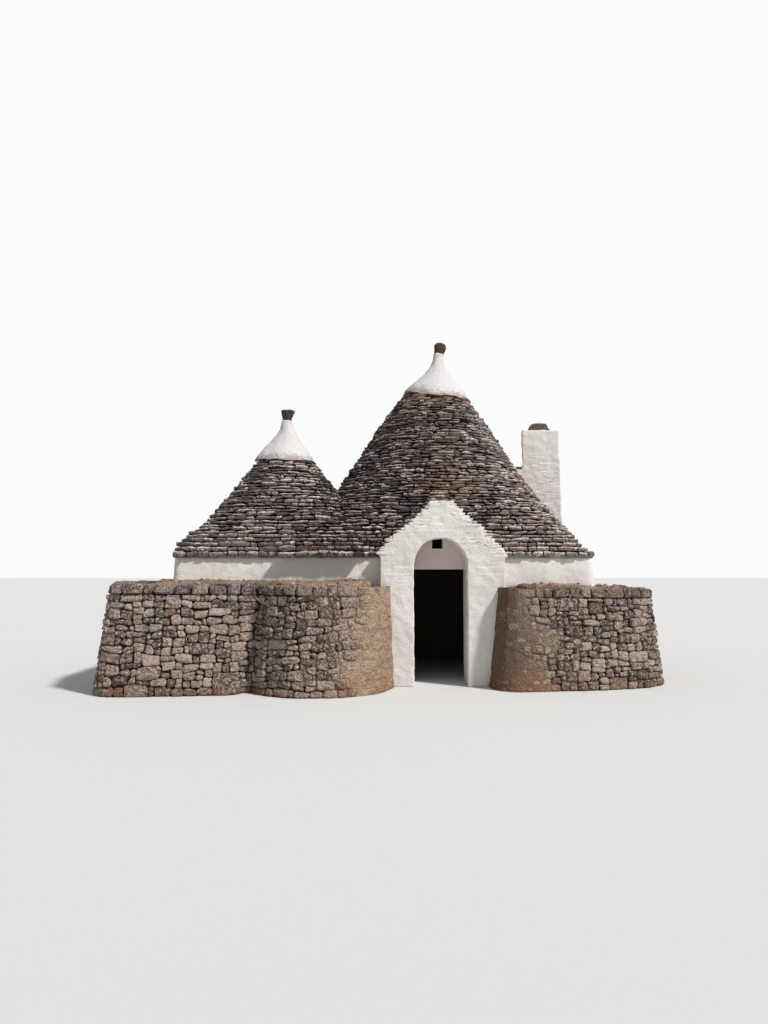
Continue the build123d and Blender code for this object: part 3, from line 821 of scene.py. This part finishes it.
# Rise of a course of the saddle, and the Y of its front and back ends
SADDLE_RISE = 0.052
SADDLE_FRONT = FRONT + 0.16
SADDLE_BACK = MAIN[1] - 0.6

# The row of slabs along the saddle's ridge: the X of its sides, its foot and top, and the Y of its back end
RIDGE_SIDES = (0.72, 0.97)
RIDGE_FOOT = 2.835
RIDGE_TOP = 2.875
RIDGE_BACK = -1.0

# The doorway and the saddle lie further than this in front of a cone's middle
FORE = 0.9

# Tops of the courses of both cones, under the caps, and how many courses at the foot are of blocks
MAIN_COURSES_TOP = 4.84
SMALL_COURSES_TOP = 3.60
BLOCK_COURSES = 5


def slab_tiles(rng, worn_ends):
    """Slabs whose ends may be worn down to a share of their height."""
    return tiles(rng, 24, SLAB, 0.010, worn_ends=worn_ends)


def roof_courses(start, top, rng):
    """Course heights from the eaves up: thick at the eaves, thinner above."""
    out = [start]
    for rise in EAVES_RISES:
        out.append(out[-1] + rise)
    while out[-1] < top:
        out.append(out[-1] + sizes().slab_rise * np.interp(out[-1], *THINNING) * rng.uniform(0.84, 1.16))
    return out


def flat(u):
    """A wave without any height."""
    return 0 * u


def level(height, wave=flat):
    """A flat or wavy level that a course rests on."""
    return lambda u: height + wave(u)


def inside_roof(levels, centre, point, z, margin):
    """Whether a point lies inside a cone by more than a margin."""
    half, corner, shift = at_height(levels, z)
    half, corner = half - margin, max(0.02, corner - margin)
    dx, dy = abs(point[0] - centre[0] - shift), abs(point[1] - centre[1])
    if dx > half or dy > half:
        return False
    return math.hypot(max(dx - half + corner, 0), max(dy - half + corner, 0)) < corner


def lay_roof(name, levels, centre, top, material, rng, other=None):
    """Lays the courses of a cone, but for slabs over the doorway, under the saddle or in the other cone."""
    blocks, slabs = slab_tiles(rng, 0.85), slab_tiles(rng, 0.6)
    bed = StoneBed(blocks)
    eaves = levels[0][0]
    heights = roof_courses(eaves - 0.012, top, rng)
    waves = [Wave(rng, 18, size=0.009, spacing=0.30) for _ in heights]
    for k, (z0, z1) in enumerate(zip(heights, heights[1:])):
        line = roof_line(levels, centre, max(z0, eaves))
        usual = min(sizes().slab_length if k else 0.18, line.length / 12)

        def hidden(u0, u1, line=line, z=(z0 + z1) / 2):
            p = line.at((u0 + u1) / 2)
            if p[1] < centre[1] - FORE:
                left, right = at_height(SADDLE, z)
                if z < NICHE_TOP and DOOR[0] < p[0] < DOOR[1]:
                    return True
                if z < SADDLE[-1][0] and left + 0.25 < p[0] < right - 0.25:
                    return True
            return other is not None and inside_roof(*other, p, z, 0.22)

        def jut(u, line=line, far=EAVES_JUT[k] if k < len(EAVES_JUT) else 0.0):
            x, y = line.at(u)
            return far if y < FRONT + 0.1 and DEEP_EAVES[0] < x < DEEP_EAVES[1] else 0.0

        bed.tiles, loose = (blocks, 0.5) if k < BLOCK_COURSES else (slabs, 1.0)
        out = (-0.022, 0.016) if k else (0.0, 0.030)
        lay_course(bed, rng, line, level(z0, waves[k]), level(z1, waves[k + 1]), usual, SLAB_DEPTH, out=out,
                   gap=0.012, slant=0.026 * loose, start=rng.uniform(0, 0.2), skip=hidden, droop=0.008,
                   lean=0.018 * loose, uneven=0.008 * loose, spread=0.6, reach=jut)
    bed.piece(name, material, "roof_stone")


def lay_saddle(material, rng):
    """Lays the saddle of slabs that joins the gable to the large cone."""
    bed = StoneBed(slab_tiles(rng, 0.6))
    heights = np.arange(SADDLE[0][0] - 0.005, SADDLE[-1][0] + 0.01, SADDLE_RISE)
    waves = [Wave(rng, 8, size=0.004, spacing=0.5) for _ in heights]
    for k, (z0, z1) in enumerate(zip(heights, heights[1:])):
        left, right = at_height(SADDLE, z0)
        line = Line([(left, SADDLE_FRONT), (right, SADDLE_FRONT), (right, SADDLE_BACK), (left, SADDLE_BACK)])

        def hidden(u0, u1, line=line, z=z0):
            p = line.at((u0 + u1) / 2)
            behind_gable = p[1] < SADDLE_FRONT + 0.04 and left + 0.2 < p[0] < right - 0.2
            return behind_gable or p[1] > SADDLE_BACK - 0.05 or inside_roof(MAIN_ROOF, MAIN, p, z, 0.12)

        lay_course(bed, rng, line, level(z0, waves[k]), level(z1, waves[k + 1]), 0.2, 0.16,
                   out=(-0.004, 0.012), gap=0.009, slant=0.008, skip=hidden, droop=0.004, lean=0.003)
    left, right = RIDGE_SIDES
    ridge = Line([(left, SADDLE_FRONT), (right, SADDLE_FRONT), (right, RIDGE_BACK), (left, RIDGE_BACK)])
    lay_course(bed, rng, ridge, level(RIDGE_FOOT), level(RIDGE_TOP), 0.2, 0.125, out=(0, 0.01), gap=0.008,
               skip=lambda u0, u1: ridge.at((u0 + u1) / 2)[1] > RIDGE_BACK - 0.03)
    bed.piece("saddle_slabs", material, "roof_stone", ["portal_roof"])


def sunk(mesh, levels, centre, depth):
    """Draws a cone's outer face in, so that its slabs stand in front of deep joints."""
    normals = [v.normal.copy() for v in mesh.vertices]
    for v, normal in zip(mesh.vertices, normals):
        if not inside_roof(levels, centre, v.co, v.co.z, 0.12):
            v.co -= normal * depth
    return mesh


class TRULLO_OT_roof_slabs(bpy.types.Operator):
    """Lay the thin stone slabs of both cones"""
    bl_idname = "trullo.roof_slabs"
    bl_label = "Roof slabs"

    def execute(self, context):
        material = roof_material()
        rng = random.Random(sizes().seed)
        lay_roof("main_roof_slabs", MAIN_ROOF, MAIN, MAIN_COURSES_TOP, material, rng)
        lay_roof("small_roof_slabs", SMALL_ROOF, SMALL, SMALL_COURSES_TOP, material, rng,
                 other=(MAIN_ROOF, MAIN))
        lay_saddle(material, rng)
        # The cores behind the slabs are near black, as painted shade deep in the joints.
        under = earth_material("roof_core", "roof gap painted shade")
        for room, levels, centre in (("main", MAIN_ROOF, MAIN), ("small", SMALL_ROOF, SMALL)):
            nodes = named(f"{room}_roof")
            core = sunk(remeshed(combined(nodes), voxel=0.06, smooth=0), levels, centre, 0.05)
            piece(f"{room}_roof_core", core, under, nodes)
        return {"FINISHED"}


# Base wall

# The rubble's bed is cut into cells of this length. Cells less than a step higher than the lowest one count
# as level with it, up to so many cells away, and a gap of fewer cells than this is too narrow for a stone
BED_STEP = 0.01
LEVEL_STEP = 0.04
LEVEL_REACH = 40
NARROW_GAP = 6

# Large stones in the rubble, as share and widths
LARGE_SHARE = 0.10
LARGE_WIDTHS = (0.24, 0.34)

# Depth of the rubble, and how far its sides stop short of its face
RUBBLE_DEPTH = 0.10
FACE_INSET = 0.024


def bedded(rng, length, height, wide, tall, blocks=()):
    """Stones bedded one on another along a strip closed on itself, as (run, run, foot, foot, head, head).

    The blocks are large stones at the foot, as (middle run, width, rise).
    """
    bed = np.array([rng.uniform(0, 0.004) for _ in range(round(length / BED_STEP))])
    size = len(bed)
    out = []
    for middle, width, rise in blocks:
        start, cells = round((middle - width / 2) / BED_STEP), round(width / BED_STEP)
        bed[np.arange(start, start + cells) % size] = rise
        out.append((start * BED_STEP, (start + cells) * BED_STEP, 0.0, 0.0, rise, rise))
    while bed.min() < height - 0.03:
        low = int(bed.argmin())
        first = last = low
        while last - low < LEVEL_REACH and bed[(last + 1) % size] < bed[low] + LEVEL_STEP:
            last += 1
        while low - first < LEVEL_REACH and bed[(first - 1) % size] < bed[low] + LEVEL_STEP:
            first -= 1
        room = last - first + 1
        rims = bed[(first - 1) % size], bed[(last + 1) % size]
        if room < NARROW_GAP and min(rims) < bed[low] + 0.06:
            bed[np.arange(first, last + 1) % size] = min(rims)
            continue
        large = rng.random() < LARGE_SHARE
        width = round((rng.uniform(*LARGE_WIDTHS) if large else wide * rng.uniform(0.5, 1.4)) / BED_STEP)
        if room - width <= NARROW_GAP:
            width = room
        left = rng.random() < 0.5
        start = first if left else last - width + 1
        span = np.arange(start, start + width) % size
        rise = tall * (rng.uniform(1.2, 1.6) if large and width > 18 else rng.uniform(0.6, 1.3))
        level_up = rims[0 if left else 1] - bed[low]
        if 0.6 * tall < level_up < 1.5 * tall and rng.random() < 0.6:
            rise = level_up
        rise *= min(1.0, 0.6 + width * BED_STEP / wide / 2)
        feet = np.linspace(bed[span[0]], bed[span[-1]], width)
        feet = feet + 0.6 * max(0.0, (bed[span] - feet).max())
        tilt = rng.uniform(-0.012, 0.012)
        heads = feet.mean() + rise + np.linspace(tilt, -tilt, width)
        heads = np.minimum(heads, height) if heads.mean() < height - 0.05 else np.full(width, height)
        bed[span] = heads
        out.append((start * BED_STEP, (start + width) * BED_STEP, feet[0], feet[-1], heads[0], heads[-1]))
    return out


# Shifts that set the three numbers of a sway apart
SWAY_SHIFTS = ((9.3, -1.5, -7.9), (0, 0, 0), (6.3, 11.2, 3.1))


def sway_at(spot):
    """A vector of smooth noise at a place, the same in every run."""
    return Vector([noise.noise(spot + Vector(shift)) for shift in SWAY_SHIFTS])


def stone_outline(rng, stone, gap, height):
    """The face of a stone, drawn in by half a joint, with its corners knocked off and its edges bent."""
    u0, u1, foot0, foot1, head0, head1 = stone
    slack = [gap / 2 + rng.uniform(0, 0.012) * (rng.random() < 0.5) for _ in range(4)]
    ring = np.array([(u0 + slack[0], foot0 + gap / 2), (u1 - slack[1], foot1 + gap / 2),
                     (u1 - slack[2], head1 - gap / 2), (u0 + slack[3], head0 - gap / 2)])
    out = []
    for a, b in zip(ring, np.roll(ring, -1, 0)):
        long = float(np.hypot(*(b - a)))
        cuts = [min(0.32, rng.uniform(0.008, 0.036) / long) for _ in range(2)]
        out.append(a + (b - a) * cuts[0])
        if long > 0.09:
            out.append((a + b) / 2 + np.array([rng.uniform(-0.02, 0.02), rng.uniform(-0.006, 0.004)]))
        out.append(b - (b - a) * cuts[1])
    bent = []
    for u, z in out:
        sway = sway_at(Vector((u * 6.5, z * 8, 1.7)))
        fade = min(1.0, 8 * z, 8 * (height - z))
        bent.append((u + 0.026 * sway.x, z + 0.020 * sway.y * max(0.0, fade)))
    return bent


def lay_rubble(rng, line, height, stones, gap, skip):
    """Rubble stones: a full back, upright sides and a rough-hewn face."""
    bm = bmesh.new()
    mark = bm.verts.layers.float_vector.new("stone")
    faces = []
    for stone in stones:
        if skip((stone[0] + stone[1]) / 2):
            continue
        ring = stone_outline(rng, stone, gap * rng.uniform(0.6, 1.4), height)
        tone, tint, proud = rng.random(), rng.random(), rng.uniform(-0.032, 0.0)
        verts = [bm.verts.new((u, v, proud - RUBBLE_DEPTH)) for u, v in ring]
        for v in verts:
            v[mark] = (tone, tint, 0.0)
        faces.append(bm.faces.new(verts))
    grown = bmesh.ops.extrude_face_region(bm, geom=faces, use_keep_orig=True)["geom"]
    for v in grown:
        if isinstance(v, bmesh.types.BMVert):
            v.co.z += RUBBLE_DEPTH - FACE_INSET
            v[mark] = (*v[mark][:2], 0.3)
    fronts = [f for f in grown if isinstance(f, bmesh.types.BMFace)]
    for worn, lift, rise in ((0.010, FACE_INSET * 0.7, 0.75), (0.022, FACE_INSET * 0.3, 1.0)):
        fronts = bmesh.ops.extrude_discrete_faces(bm, faces=fronts)["faces"]
        for f in fronts:
            spots = np.array([v.co[:2] for v in f.verts])
            middle, reach = (spots.min(0) + spots.max(0)) / 2, np.ptp(spots, 0) / 2
            share = np.maximum(1 - worn / reach, 0.62)
            for v, spot in zip(f.verts, (middle + (spots - middle) * share).tolist()):
                v.co = (*spot, v.co.z + lift)
                v[mark] = (*v[mark][:2], rise)
    for v in sorted(bmesh.ops.poke(bm, faces=fronts)["verts"], key=lambda v: tuple(v.co)):
        v[mark] = v.link_edges[0].other_vert(v)[mark]
        v.co += Vector([rng.uniform(-0.015, 0.015) for _ in range(3)])
    bmesh.ops.recalc_face_normals(bm, faces=bm.faces)
    for v in bm.verts:
        if v[mark][2] > 0:
            v.co += (sway_at(v.co * 9) * 0.008 + sway_at(v.co * 27) * 0.005) * v[mark][2]
    spots = np.array([v.co[:] for v in bm.verts])
    z = np.clip(spots[:, 1], 0.002, None) * (line.top(spots[:, 0]) - COPING_H) / height
    move(bm, line.point(spots[:, 0], z, -np.minimum(spots[:, 2], 0.0), True))
    return bm


def run_at(line, spot):
    """Run of the place on a line nearest to a spot."""
    runs = np.linspace(0, line.length, 4000)
    return float(runs[np.hypot(*(line.at(runs) - np.array(spot)).T).argmin()])


def in_door_gap(x, y, margin, spare=0.0):
    """Whether a place lies where the portal cuts the base wall."""
    front, back = DOOR_GAP_DEPTH
    return front - spare < y < back and DOOR_GAP[0] - margin < x < DOOR_GAP[1] + margin


class TRULLO_OT_base_wall(bpy.types.Operator):
    """Lay the battered rubble wall round the house, with its top course"""
    bl_idname = "trullo.base_wall"
    bl_label = "Base wall"

    def execute(self, context):
        stone = sizes()
        rng = random.Random(stone.seed + 1)
        line = Line(rounded(BASE_LINE), BASE_TOP / 2)

        def in_door(u):
            return in_door_gap(*line.at(u), margin=0.05)

        height = BASE_TOP - COPING_H
        blocks = [(run_at(line, spot), width, rise) for spot, width, rise in FOOT_BLOCKS]
        stones = bedded(rng, line.length, height, stone.rubble_length, stone.rubble_rise, blocks)
        rubble = to_mesh(lay_rubble(rng, line, height, stones, gap=0.005, skip=in_door), "base_rubble")
        piece("base_rubble", rubble, rubble_material(), named("base_"))

        top = StoneBed(tiles(rng, 12, (0.21, 0.30, COPING_H), 0.026, rough=0.012))
        crest = Wave(rng, line.length, size=0.018, spacing=0.2)
        bed = Wave(rng, line.length, size=0.010, spacing=0.4)
        lay_course(top, rng, line, lambda u: line.top(u) - COPING_H + bed(u),
                   lambda u: line.top(u) - 0.02 + crest(u), stone.coping_length, 0.30, out=(-0.03, 0.004),
                   gap=0.016, skip=lambda u0, u1: in_door((u0 + u1) / 2), battered=True, slant=0.03,
                   lean=0.02)
        pale = rubble_material("top_course", pale_share=0.62, shade=0.84)
        top.piece("base_top_course", pale, "field_stone")
        levels = [(z, -0.06) for z in (0.0, 0.7, 1.40)]
        core = ring_shell(line, levels, thick=0.05, step=0.08, battered=True)
        doorway = [f for f in core.faces if in_door_gap(*f.calc_center_median()[:2], margin=0.1, spare=0.07)]
        bmesh.ops.delete(core, geom=doorway, context="FACES")
        # The core behind the stones is near black, as painted shade deep in the joints.
        piece("base_core", to_mesh(core, "base_core"), earth_material("base_gaps", "rubble gap painted shade"))
        self.daub(line)
        return {"FINISHED"}

    def daub(self, line):
        """Brown render smeared over the stones beside the portal, thinning out away from it."""
        bm = bmesh.new()
        for far, near in DAUB_ENDS:
            far, near = run_at(line, far), run_at(line, near)
            start, end = min(far, near), max(far, near)
            sheet = bmesh.new()
            bmesh.ops.create_grid(sheet, x_segments=round((end - start) / 0.025), y_segments=58, size=0.5)
            for v in sheet.verts:
                a, b = v.co.x + 0.5, v.co.y + 0.5
                u = start + (end - start) * a
                z = max(0.002, b * float(line.top(u) - 0.03))
                closeness = a if near == end else 1 - a
                cover = closeness + 0.35 * noise_at(u * 2.2, z * 2.2, 3) - 0.12 * b
                sink = 0.05 * held((0.48 - cover) / 0.3)
                coarse, fine = (noise_at(u * pitch, z * pitch, 0) for pitch in (7, 24))
                lump = 0.018 * coarse + 0.009 * fine
                v.co = line.point(u, z, max(0.003, 0.009 + sink - lump), True).tolist()
            bmesh.ops.solidify(sheet, geom=sheet.faces, thickness=0.03)
            bmesh.ops.recalc_face_normals(sheet, faces=sheet.faces)
            part = to_mesh(sheet, "daub_part")
            bm.from_mesh(part)
            bpy.data.meshes.remove(part)
        piece("base_daub", to_mesh(bm, "base_daub"), daub_material(), smooth=True)


class TRULLO_OT_earth(bpy.types.Operator):
    """Fill the top of the base with packed earth and loose stones"""
    bl_idname = "trullo.earth"
    bl_label = "Packed earth"

    def execute(self, context):
        rng = random.Random(sizes().seed + 2)
        fills = named("fill_")
        mesh = lumpy(remeshed(combined(fills), 0.035), [(0.5, 0.03), (0.12, 0.022), (0.04, 0.01)])
        # The earth lies lower at both ends of the house
        for v in mesh.vertices:
            v.co.z -= 0.05 * held((abs(v.co.x) - 2.9) / 0.3)
        soil = earth_material("packed_earth", finish().earth)
        piece("packed_earth", mesh, soil, fills, smooth=True)
        faces = [tuple(p.vertices) for p in mesh.polygons]
        tree = BVHTree.FromPolygons([v.co.copy() for v in mesh.vertices], faces)
        bed = StoneBed(tiles(rng, 6, (0.10, 0.09, 0.06), 0.018, cuts=0))
        laid = 0
        while laid < LOOSE_STONES:
            spot = Vector((rng.uniform(-4.1, 4.1), rng.uniform(-3.3, 3.3), 2.0))
            hit, normal, _, _ = tree.ray_cast(spot, Vector((0, 0, -1)), 1.0)
            if hit is None or normal.z < 0.5:
                continue
            size = rng.uniform(0.015, 0.05)
            turn = Matrix.Rotation(rng.uniform(0, 6.3), 3, "Z")
            turn = turn @ Matrix.Rotation(rng.uniform(-0.5, 0.5), 3, "X")
            scale = np.array([size * rng.uniform(0.9, 1.7), size, size * rng.uniform(0.5, 0.9)])

            def place(a, b, c):
                local = (np.stack([a, b, c], -1) - 0.5) * scale
                return local @ np.array(turn).T + np.array(hit + Vector((0, 0, scale[2] * 0.2)))

            bed.lay(rng, place)
            laid += 1
        bed.piece("loose_stones", rubble_material("loose_stones", pale_share=1.7), "field_stone")
        return {"FINISHED"}


# Whitewashed walls, caps and small stones

# Unevenness of skins, as sizes and amounts
WASH_LUMPS = [(0.35, 0.012), (0.11, 0.008), (0.04, 0.003)]
CAP_LUMPS = [(0.3, 0.016), (0.1, 0.008), (0.04, 0.003)]
FINIAL_LUMPS = [(0.09, 0.008), (0.03, 0.004)]
CAPSTONE_LUMPS = [(0.10, 0.012), (0.03, 0.005)]

# The drum's whitewash runs up from this height in even steps, and leans in above the base
WASH_FOOT = 1.40
WASH_STEP = 0.03
WASH_LEAN = 0.078

# Shades of the white caps, and the painted shade, warm and dark, of the door panel in its recess
CAP_SHADE = (0.82, 0.825, 0.865)
PANEL_PAINTED_SHADE = (0.84, 0.74, 0.73)

# How much taller the rough capstone of the chimney is than its solid
CAPSTONE_STRETCH = 1.45


def ledged(mesh, low, back, depth):
    """Marks the slab courses that show through the whitewash above a height and in front of a plane."""
    for v in mesh.vertices:
        x, y, z = v.co
        if z < low or y > back:
            continue
        row = z / SADDLE_RISE + 0.6 * noise_at(x * 1.5, 0, z * 1.5)
        ledge = (row % 1.0) - 0.5
        patch = held(0.35 + 1.3 * noise_at(x * 2.7, 5, z * 2.7))
        share = min(1.0, (z - low) / 0.3)
        v.co.y += depth * ledge * patch * share


class TRULLO_OT_whitewash(bpy.types.Operator):
    """Put lumpy whitewash on the drums, the portal and the chimney"""
    bl_idname = "trullo.whitewash"
    bl_label = "Whitewashed walls"

    def execute(self, context):
        heights = [WASH_FOOT + WASH_STEP * k for k in range(17)]
        levels = [(z, 0.012 - max(0.0, z - 1.45) * WASH_LEAN) for z in heights]
        shell = ring_shell(Line(rounded(DRUM_LINE)), levels, thick=0.04, step=0.035)
        low, high = DOOR[0] - 0.03, DOOR[1] + 0.03
        doorway = [v for v in shell.verts if v.co.y < FRONT + 0.3 and low < v.co.x < high]
        bmesh.ops.delete(shell, geom=doorway, context="VERTS")
        band = lumpy(to_mesh(shell, "drum_whitewash"), WASH_LUMPS)
        wash = whitewash_material("drum_whitewash", grime=0.25, stain_top=EAVES)
        piece("drum_whitewash", band, wash, smooth=True)

        portal = ["portal_pier_left", "portal_pier_right", "portal_gable"]
        face = lumpy(remeshed(combined(portal), 0.02), WASH_LUMPS)
        ledged(face, low=1.45, back=FRONT - 0.02, depth=0.014)
        wash = whitewash_material("portal_whitewash", grime=0.35, cracks=(1.48, FRONT - 0.20, 2.22))
        piece("portal_whitewash", face, wash, portal, smooth=True)
        self.slab_ends(wash)

        stack = lumpy(remeshed(combined(["chimney_stack"]), 0.022), WASH_LUMPS)
        ledged(stack, low=1.9, back=0.1, depth=0.022)
        # The top of the stack is narrower at the back, on its left
        for v in stack.vertices:
            if v.co.x < 2.72 and v.co.z > 3.52:
                v.co.x += 0.05 * held((v.co.y - 0.03) / 0.12)
        wash = whitewash_material("chimney_whitewash", grime=0.4, shade=0.95, cracks=(2.95, 0.0, 3.15))
        piece("chimney_whitewash", stack, wash, ["chimney_stack"], smooth=True)
        return {"FINISHED"}

    def slab_ends(self, material):
        """Lets the ends of whitewashed slabs show up both slopes of the gable."""
        rng = random.Random(sizes().seed + 3)
        bed = StoneBed(tiles(rng, 10, (0.20, 0.36, 0.045), 0.010, worn_ends=0.5))
        for line, side in ((GABLE_LEFT, -1), (GABLE_RIGHT, 1)):
            edges, levels = zip(*line)
            z = levels[0] - 0.02
            while z < levels[-1] - 0.03:
                rise = rng.uniform(0.034, 0.056)
                tip = np.interp(z + rise / 2, levels, edges) + side * rng.uniform(-0.022, 0.014)
                low, high = sorted((tip, tip - side * 0.24))
                front = FRONT - 0.178 - rng.uniform(0.0, 0.016)

                def place(across, inward, up):
                    return np.stack([low + (high - low) * across, front + inward * 0.34, z + rise * up], -1)

                bed.lay(rng, place)
                z += rise
        bed.piece("gable_slab_ends", material, "whitewash")


class TRULLO_OT_caps(bpy.types.Operator):
    """Shape the white caps and the finials"""
    bl_idname = "trullo.caps"
    bl_label = "Caps and finials"

    def execute(self, context):
        for node, profile, centre, slope in (("main_cap", MAIN_CAP, MAIN, 0.20),
                                             ("small_cap", SMALL_CAP, SMALL, 0.05)):
            name = f"{node}_whitewash"
            mesh = to_mesh(turned(profile, centre), name)
            self.slope_foot(mesh, profile, centre, slope)
            _, low, shift = profile[0]
            foot = (low, centre[0] + shift, slope)
            wash = whitewash_material(name, grime=0.4, shade=CAP_SHADE, foot=foot)
            piece(name, lumpy(mesh, CAP_LUMPS), wash, [node], smooth=True)
        for node, profile, centre, slot in (("main_finial", MAIN_FINIAL, MAIN, "finial_stone"),
                                            ("small_finial", SMALL_FINIAL, SMALL, "roof_stone")):
            name = f"{node}_stone"
            mesh = lumpy(to_mesh(turned(profile, centre, 40), name), FINIAL_LUMPS)
            piece(name, mesh, earth_material(node, node.replace("_", " ")), [node], smooth=True)
        return {"FINISHED"}

    def slope_foot(self, mesh, profile, centre, slope):
        """Raises the lower edge of a cap on its left, along the cone, and makes the edge ragged."""
        radii, heights, shifts = zip(*profile)
        foot = heights[0]
        reach = foot + 0.45
        for v in mesh.vertices:
            if v.co.z > reach:
                continue
            bearing = math.atan2(v.co.y - centre[1], v.co.x - centre[0] - np.interp(v.co.z, heights, shifts))
            east, north = math.cos(bearing), math.sin(bearing)
            lift = slope * max(0.0, -east) ** 1.5 + 0.03 * noise_at(east * 4, north * 4, foot)
            z = v.co.z + lift * (reach - v.co.z) / (reach - foot)
            radius, shift = np.interp(z, heights, radii), np.interp(z, heights, shifts)
            v.co = (centre[0] + shift + radius * east, centre[1] + radius * north, z)


class TRULLO_OT_small_stones(bpy.types.Operator):
    """Finish the remaining stones: chimney cap and ledge, door panel, and the walls inside"""
    bl_idname = "trullo.small_stones"
    bl_label = "Small stones and inside"

    def execute(self, context):
        moss = earth_material("capstone_moss", "moss")
        dress("chimney_ledge", moss)
        cap = remeshed(combined(["chimney_cap"]), 0.02, 1)
        low = min(v.co.z for v in cap.vertices)
        for v in cap.vertices:
            v.co.z = low + (v.co.z - low) * CAPSTONE_STRETCH
        piece("chimney_capstone", lumpy(cap, CAPSTONE_LUMPS), moss, ["chimney_cap"])
        # The door panel is painted darker and warmer, as the shade of its recess.
        dress("tympanum", whitewash_material("panel_whitewash", grime=0.3, shade=PANEL_PAINTED_SHADE))
        # The inside walls are darker, with painted shade deepening away from the doorway.
        inside = whitewash_material("inside_walls", grime=0.6, shade=0.8, painted_inner_shade=True)
        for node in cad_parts:
            if "_wall_" in node or node.startswith("inner_arch") or node == "door_lintel":
                dress(node, inside)
        return {"FINISHED"}


# Stage

# Lights, floor and backdrop. The sun stands in this direction and is this many degrees wide
FLOOR_COLOUR = (0.62, 0.615, 0.61)
SOFT_LIGHT_COLOUR = (0.87, 0.94, 1.0)
BACKDROP_COLOUR = (0.97, 0.97, 0.97)
SUN_COLOUR = (1.0, 0.965, 0.92)
SUN_DIRECTION = (0.70, -0.50, 0.95)
SUN_WIDTH = 6

# The camera, with its focal length in pixels of a picture of this height, and its pitch in degrees
CAMERA_PLACE = (0.01, -13.60, 1.66)
CAMERA_PITCH = 4.46
FOCAL_PIXELS = 769
PICTURE_HEIGHT = 1024
SENSOR_WIDTH = 36


class TRULLO_OT_stage(bpy.types.Operator):
    """Set up the pale floor, the soft light and the camera"""
    bl_idname = "trullo.stage"
    bl_label = "Stage"

    def execute(self, context):
        scene = context.scene
        scene.view_settings.view_transform = "Standard"
        self.add_floor(scene)
        self.add_lights(scene)
        self.add_camera(scene)
        return {"FINISHED"}

    def add_floor(self, scene):
        """A wide matte floor, just below the house."""
        bm = bmesh.new()
        bmesh.ops.create_grid(bm, x_segments=1, y_segments=1, size=200)
        floor = bpy.data.objects.new("floor", to_mesh(bm, "floor"))
        floor.location.z = -0.002
        scene.collection.objects.link(floor)
        material = bpy.data.materials.new("floor")
        material.use_nodes = True
        shader = material.node_tree.nodes["Principled BSDF"]
        shader.inputs["Base Color"].default_value = (*FLOOR_COLOUR, 1)
        shader.inputs["Roughness"].default_value = 1.0
        floor.data.materials.append(material)

    def add_lights(self, scene):
        """Soft light from all round, seen as a plain backdrop, and the sun."""
        studio = scene.trullo_studio
        world = bpy.data.worlds.new("soft_light")
        world.use_nodes = True
        w = Wiring(world.node_tree)
        path = w.node("ShaderNodeLightPath").outputs
        seen = w.most(path["Is Camera Ray"], path["Is Glossy Ray"], path["Is Transmission Ray"])
        background = world.node_tree.nodes["Background"]
        w.feed(w.mix(seen, SOFT_LIGHT_COLOUR, BACKDROP_COLOUR), background.inputs["Color"])
        w.feed(w.spread(seen, (0, 1), (studio.sky_strength, 1.0)), background.inputs["Strength"])
        scene.world = world
        lamp = bpy.data.lights.new("key", "SUN")
        lamp.energy = studio.sun_strength
        lamp.angle = math.radians(SUN_WIDTH)
        lamp.color = SUN_COLOUR
        key = bpy.data.objects.new("key", lamp)
        key.rotation_euler = Vector(SUN_DIRECTION).to_track_quat("Z", "Y").to_euler()
        scene.collection.objects.link(key)

    def add_camera(self, scene):
        """A camera at eye height in front of the house."""
        lens = bpy.data.cameras.new("view")
        lens.sensor_fit = "AUTO"
        lens.sensor_width = SENSOR_WIDTH
        lens.lens = SENSOR_WIDTH * FOCAL_PIXELS / PICTURE_HEIGHT
        lens.clip_end = 500
        camera = bpy.data.objects.new("view", lens)
        camera.location = CAMERA_PLACE
        camera.rotation_euler = (math.radians(90 + CAMERA_PITCH), 0, 0)
        scene.collection.objects.link(camera)
        scene.camera = camera


class TRULLO_PT_panel(bpy.types.Panel):
    """The house's makers, in order"""
    bl_label = "Trullo house"
    bl_idname = "TRULLO_PT_panel"
    bl_space_type = "VIEW_3D"
    bl_region_type = "UI"
    bl_category = "Trullo"

    def draw(self, context):
        for maker in MAKERS:
            self.layout.operator(maker.bl_idname)
        for group in (context.scene.trullo_stones, context.scene.trullo_finish, context.scene.trullo_studio):
            box = self.layout.box()
            for key in group.__annotations__:
                box.prop(group, key)


MAKERS = (TRULLO_OT_stage, TRULLO_OT_roof_slabs, TRULLO_OT_base_wall, TRULLO_OT_earth, TRULLO_OT_whitewash,
          TRULLO_OT_caps, TRULLO_OT_small_stones)
GROUPS = (StoneSizes, FinishColours, StudioSetup)


def register():
    for item in (*GROUPS, *MAKERS, TRULLO_PT_panel):
        bpy.utils.register_class(item)
    bpy.types.Scene.trullo_stones = PointerProperty(type=StoneSizes)
    bpy.types.Scene.trullo_finish = PointerProperty(type=FinishColours)
    bpy.types.Scene.trullo_studio = PointerProperty(type=StudioSetup)


def unregister():
    for name in ("trullo_stones", "trullo_finish", "trullo_studio"):
        delattr(bpy.types.Scene, name)
    for item in reversed((*GROUPS, *MAKERS, TRULLO_PT_panel)):
        bpy.utils.unregister_class(item)


def main():
    register()
    for maker in MAKERS:
        group, name = maker.bl_idname.split(".")
        getattr(getattr(bpy.ops, group), name)()


if __name__ == "__main__":
    main()
